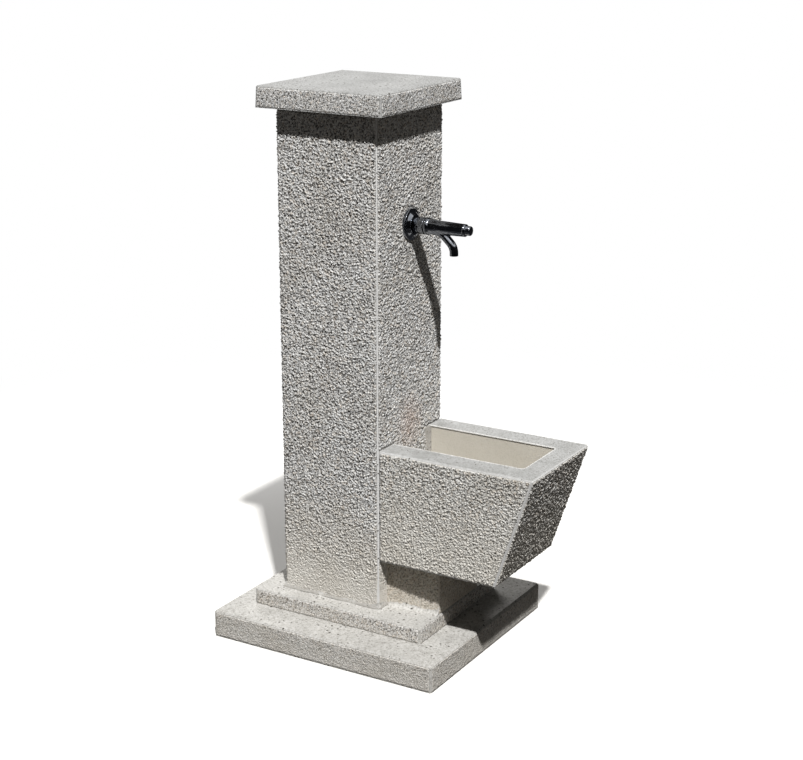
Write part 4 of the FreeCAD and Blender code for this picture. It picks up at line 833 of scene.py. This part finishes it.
block_faces = [(3, 2, 1, 0), (4, 5, 6, 7), (0, 1, 5, 4), (1, 2, 6, 5), (2, 3, 7, 6), (3, 0, 4, 7)]
plain_piece("support_block", [(*corner, z) for z in support_heights for corner in plan],
            block_faces, support_finish)


def support_panel(start, end):
    """One upright face of the block, a little short of its arrises."""
    inset = (end - start).normalized() * SUPPORT_ARRIS
    return upright(start + inset, end - inset, step_top + SUPPORT_LAP, basin_low[2] - SUPPORT_LAP)


support_panels = [support_panel(start, end) for start, end in zip(plan, plan[1:])]
piece = face_panels("support_faces", support_panels, WASHED_STEP, fully_worked)
bake(piece, GRAIN, {**FINE_GRAIN, "Grain height": SUPPORT_GRAIN_HEIGHT, "Finish": support_finish})
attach(piece, "fountain")

# %% [markdown]
# The mortar at the foot of the column and of this block was struck by hand into a hollow
# fillet, so its height and width wander.

# %% Mortar fillet at the foot
FILLET_HEIGHT = 11 * MM
FILLET_WIDTH = 9 * MM
FILLET_SINK = 0.5 * MM
FILLET_ROOT = 1.5 * MM
FILLET_PARTS = 6
FILLET_STEP = 5 * MM
FILLET_SHARP = math.radians(50)
foot_corners = [Vector(corner) for corner in (
    (-SUPPORT_FRONT, support_y), (-SUPPORT_BACK, FACE_Y), (left, FACE_Y), (left, back),
    (right, back), (right, FACE_Y), (SUPPORT_BACK, FACE_Y), (SUPPORT_FRONT, support_y))]


def foot_path():
    """Points round the foot of the column and the block, each with its way outwards."""
    runs = [(b - a).normalized() for a, b in zip(foot_corners, foot_corners[1:])]
    sides = [Vector((-run.y, run.x)) for run in runs]
    path = []
    for i, corner in enumerate(foot_corners):
        before, after = sides[max(i - 1, 0)], sides[min(i, len(sides) - 1)]
        path.append((corner, (before + after) / (1 + before.dot(after))))
        if i < len(runs):
            clear = 1.5 * FILLET_WIDTH
            length = (foot_corners[i + 1] - corner).length - 2 * clear
            steps = max(0, round(length / FILLET_STEP))
            path += [(corner + runs[i] * (clear + length * j / steps), sides[i])
                     for j in range(steps + 1) if steps]
    return path


def fillet_section(swell):
    """Outward distances and heights of the hollow fillet, from the wall down and back below."""
    width, height = FILLET_WIDTH * swell, FILLET_HEIGHT * swell
    angles = [math.pi / 2 * i / FILLET_PARTS for i in range(FILLET_PARTS + 1)]
    section = [(width * (1 - math.cos(a)), height * (1 - math.sin(a))) for a in angles]
    return section + [(width, -FILLET_SINK), (-FILLET_ROOT, -FILLET_SINK), (-FILLET_ROOT, height)]


points = []
path = foot_path()
for place, outwards in path:
    x, y = place
    swell = 1 + 0.18 * math.sin(95 * (x + y)) + 0.1 * math.sin(260 * (x - y) + 1)
    section = fillet_section(swell)
    points += [(*(place + outwards * away), step_top + rise) for away, rise in section]
count = len(section)
faces = [tuple(range(count)), tuple(reversed(range(len(points) - count, len(points))))]
for first in range(0, len(points) - count, count):
    for k in range(count):
        a, b = first + k, first + (k + 1) % count
        faces.append((b, a, a + count, b + count))
fillet = plain_piece("struck_fillet", points, faces, top_finish)
fillet.data.shade_smooth()
fillet.data.set_sharp_from_angle(angle=FILLET_SHARP)
print(len(path), "sections along the fillet")

# %% [markdown]
# ## Metals
#
# Chrome on the tap is electroplated over polished brass. It is a mirror, so what the eye sees
# is mostly the surroundings, a little darker and bluer. Old plating has dried water spots,
# which only show as slightly duller patches. Brass and steel fittings inside are turned or
# drawn: fine rings and lines run round or along them, and they mirror less sharply.


# %% Metal materials
def machined_metal(name, light, dark, roughness, line_spacing, packing=(1, 1, 1)):
    """Turned, drawn or brushed metal: fine lines, packed closer along some of the axes."""
    material, tree, shader, place = new_material(name)
    drawn = add_node(tree, "ShaderNodeMapping", {"Vector": place, "Scale": packing})
    lines = add_node(tree, "ShaderNodeTexNoise", {
        "Vector": drawn, "Scale": 1 / line_spacing, "Detail": 2.0})
    clouds = add_node(tree, "ShaderNodeTexNoise", {"Vector": place, "Scale": 60.0, "Detail": 4.0})
    level = add_node(tree, "ShaderNodeMix", {0: 0.5, 2: lines, 3: clouds})
    tone = add_node(tree, "ShaderNodeValToRGB", {0: level}, stops=[(0.35, dark), (0.62, light)])
    gloss = add_node(tree, "ShaderNodeMapRange", {
        "Value": clouds, "From Min": 0.35, "From Max": 0.65, "To Min": roughness * 0.75,
        "To Max": roughness * 1.3})
    bump = add_node(tree, "ShaderNodeBump", {
        "Height": lines, "Strength": 0.15, "Distance": 0.1 * MM})
    set_inputs(tree, shader, {
        "Base Color": tone, "Roughness": gloss, "Normal": bump, "Metallic": 1.0})
    return material


DROP_SPACING = 5 * MM


def plated_chrome():
    """Bright plating: a dark bluish mirror with the duller rings of dried water drops."""
    material, tree, shader, place = new_material("plated_chrome")
    drops = add_node(tree, "ShaderNodeTexVoronoi", {"Vector": place, "Scale": 1 / DROP_SPACING})
    ring = add_node(tree, "ShaderNodeMapRange", {
        "Value": drops, "From Min": 0.2, "From Max": 0.3, "To Min": 0.1, "To Max": 0.05})
    haze = add_node(tree, "ShaderNodeTexNoise", {"Vector": place, "Scale": 90.0, "Detail": 4.0})
    gloss = add_node(tree, "ShaderNodeMath", {0: haze, 1: 0.09, 2: ring}, operation="MULTIPLY_ADD")
    tone = add_node(tree, "ShaderNodeValToRGB", {0: haze},
                    stops=[(0.35, "#83878e"), (0.65, "#a3a6ab")])
    set_inputs(tree, shader, {"Base Color": tone, "Roughness": gloss, "Metallic": 1.0})
    return material


finishes = {
    "chrome_plate": plated_chrome(),
    "stainless_steel": machined_metal("brushed_stainless_steel", "#c3c5c8", "#97999c", 0.3,
                                      0.8 * MM, (1, 8, 1)),
    "brass": machined_metal("turned_brass", "#c9a45c", "#96763a", 0.28, 0.7 * MM, (1, 6, 1)),
    "copper": machined_metal("drawn_copper", "#c47f5c", "#86503a", 0.34, 1.2 * MM, (6, 6, 1)),
    "spring_steel": machined_metal("drawn_spring_steel", "#a9abae", "#77797d", 0.22, 0.4 * MM),
}

# %% [markdown]
# ## Rubber, plastic and mortar
#
# Washers are moulded rubber, nearly black and dull. The drain is grey PVC, extruded and
# moulded, with the fine frosting of a spark-eroded mould. Mortar is sandier than the castings
# and was left off the tool.


# %% Moulded materials and mortar
def moulded(name, light, dark, roughness, frosting):
    """Moulded rubber or plastic: a faint mottle and the mould's fine frosting."""
    material, tree, shader, place = new_material(name)
    mottle = add_node(tree, "ShaderNodeTexNoise", {"Vector": place, "Scale": 45.0, "Detail": 5.0})
    frost = add_node(tree, "ShaderNodeTexNoise", {"Vector": place, "Scale": 1 / frosting})
    tone = add_node(tree, "ShaderNodeValToRGB", {0: mottle}, stops=[(0.35, dark), (0.65, light)])
    gloss = add_node(tree, "ShaderNodeMapRange", {
        "Value": mottle, "From Min": 0.35, "From Max": 0.65, "To Min": roughness - 0.08,
        "To Max": roughness + 0.06})
    bump = add_node(tree, "ShaderNodeBump", {
        "Height": frost, "Strength": 0.25, "Distance": 0.2 * MM})
    set_inputs(tree, shader, {"Base Color": tone, "Roughness": gloss, "Normal": bump})
    return material


finishes["rubber"] = moulded("moulded_rubber", "#2b2b2c", "#1b1b1c", 0.75, 0.7 * MM)
finishes["drain_plastic"] = moulded("extruded_grey_pvc", "#8b8e90", "#6f7274", 0.42, 0.6 * MM)
finishes["mortar"] = smooth_concrete("struck_mortar", "#adaaa5", "#9b9893", 7 * MM, 2.5 * MM)
finishes.update(cast_concrete=cast_finish, base_concrete=top_finish, cap_concrete=cap_top_finish)
for part in frame["record"]["subparts"]:
    for material_slot in nodes[part["node"]].material_slots:
        material_slot.material = finishes[part["material_slot"]]

# %% [markdown]
# ## The tap's polished skin
#
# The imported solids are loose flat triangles, which a mirror shows at once. So each chromed
# part gets a copy whose points are merged and whose faces are shaded smooth, except across
# its sharp edges. The shape stays the same.


# %% Chromed copies
SHARP_ANGLE = math.radians(32)
MERGE_DISTANCE = 1e-6


def polished_copy(node, body):
    """Takes a chromed node's place with a copy that is shaded smooth."""
    mesh = nodes[node].data.copy()
    work = bmesh.new()
    work.from_mesh(mesh)
    bmesh.ops.remove_doubles(work, verts=work.verts, dist=MERGE_DISTANCE)
    work.to_mesh(mesh)
    work.free()
    mesh.materials.clear()
    mesh.materials.append(finishes["chrome_plate"])
    mesh.shade_smooth()
    mesh.set_sharp_from_angle(angle=SHARP_ANGLE)
    piece = bpy.data.objects.new(f"{node}_polished", mesh)
    bpy.context.scene.collection.objects.link(piece)
    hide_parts(node)
    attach(piece, body)


for node in ("rosette", "wall_union", "tap_body", "button_ring"):
    polished_copy(node, "fountain")
polished_copy("push_button", "button")

# %% [markdown]
# ## The return spring
#
# The button comes back by a spring of hard-drawn wire. It is wound, so a spiral curve with a
# round profile makes it, and its number of turns and its wire stay named inputs. When the
# button is pressed its far end stays on the valve's seat and the coil shortens.


# %% Geometry Nodes: wound wire
SPRING_TURNS = 5.0
TURN_POINTS = 32
WIRE_RADIUS = 0.6 * MM
WIRE_SIDES = 10


def wound_wire_tree():
    """Winds a wire into a coil that lies along y."""
    tree, given = shape_tree("wound_wire", {
        "Turns": "Float", "Coil radius": "Float", "Length": "Float", "Wire radius": "Float",
        "Place": "Vector", "Finish": "Material"})
    coil = add_node(tree, "GeometryNodeCurveSpiral", {
        "Resolution": TURN_POINTS, "Rotations": given["Turns"],
        "Start Radius": given["Coil radius"], "End Radius": given["Coil radius"],
        "Height": given["Length"]})
    section = add_node(tree, "GeometryNodeCurvePrimitiveCircle",
                       {"Resolution": WIRE_SIDES, "Radius": given["Wire radius"]})
    wire = add_node(tree, "GeometryNodeCurveToMesh", {0: coil, 1: section, "Fill Caps": True})
    laid = add_node(tree, "GeometryNodeTransform", {
        0: wire, "Translation": given["Place"], "Rotation": (-math.pi / 2, 0, 0)})
    return finish_tree(tree, laid, given["Finish"])


spring_low, spring_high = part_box("return_spring")
spring_length = spring_high.y - spring_low.y
spring = new_object("return_spring_wound")
bake(spring, wound_wire_tree(), {
    "Turns": SPRING_TURNS, "Coil radius": (spring_high.x - spring_low.x) / 2 - WIRE_RADIUS,
    "Length": spring_length - 2 * WIRE_RADIUS, "Wire radius": WIRE_RADIUS,
    "Place": (0, spring_low.y + WIRE_RADIUS, TAP_Z), "Finish": finishes["spring_steel"]})
spring.data.shade_smooth()
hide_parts("return_spring")
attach(spring, "fountain")
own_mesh(spring)
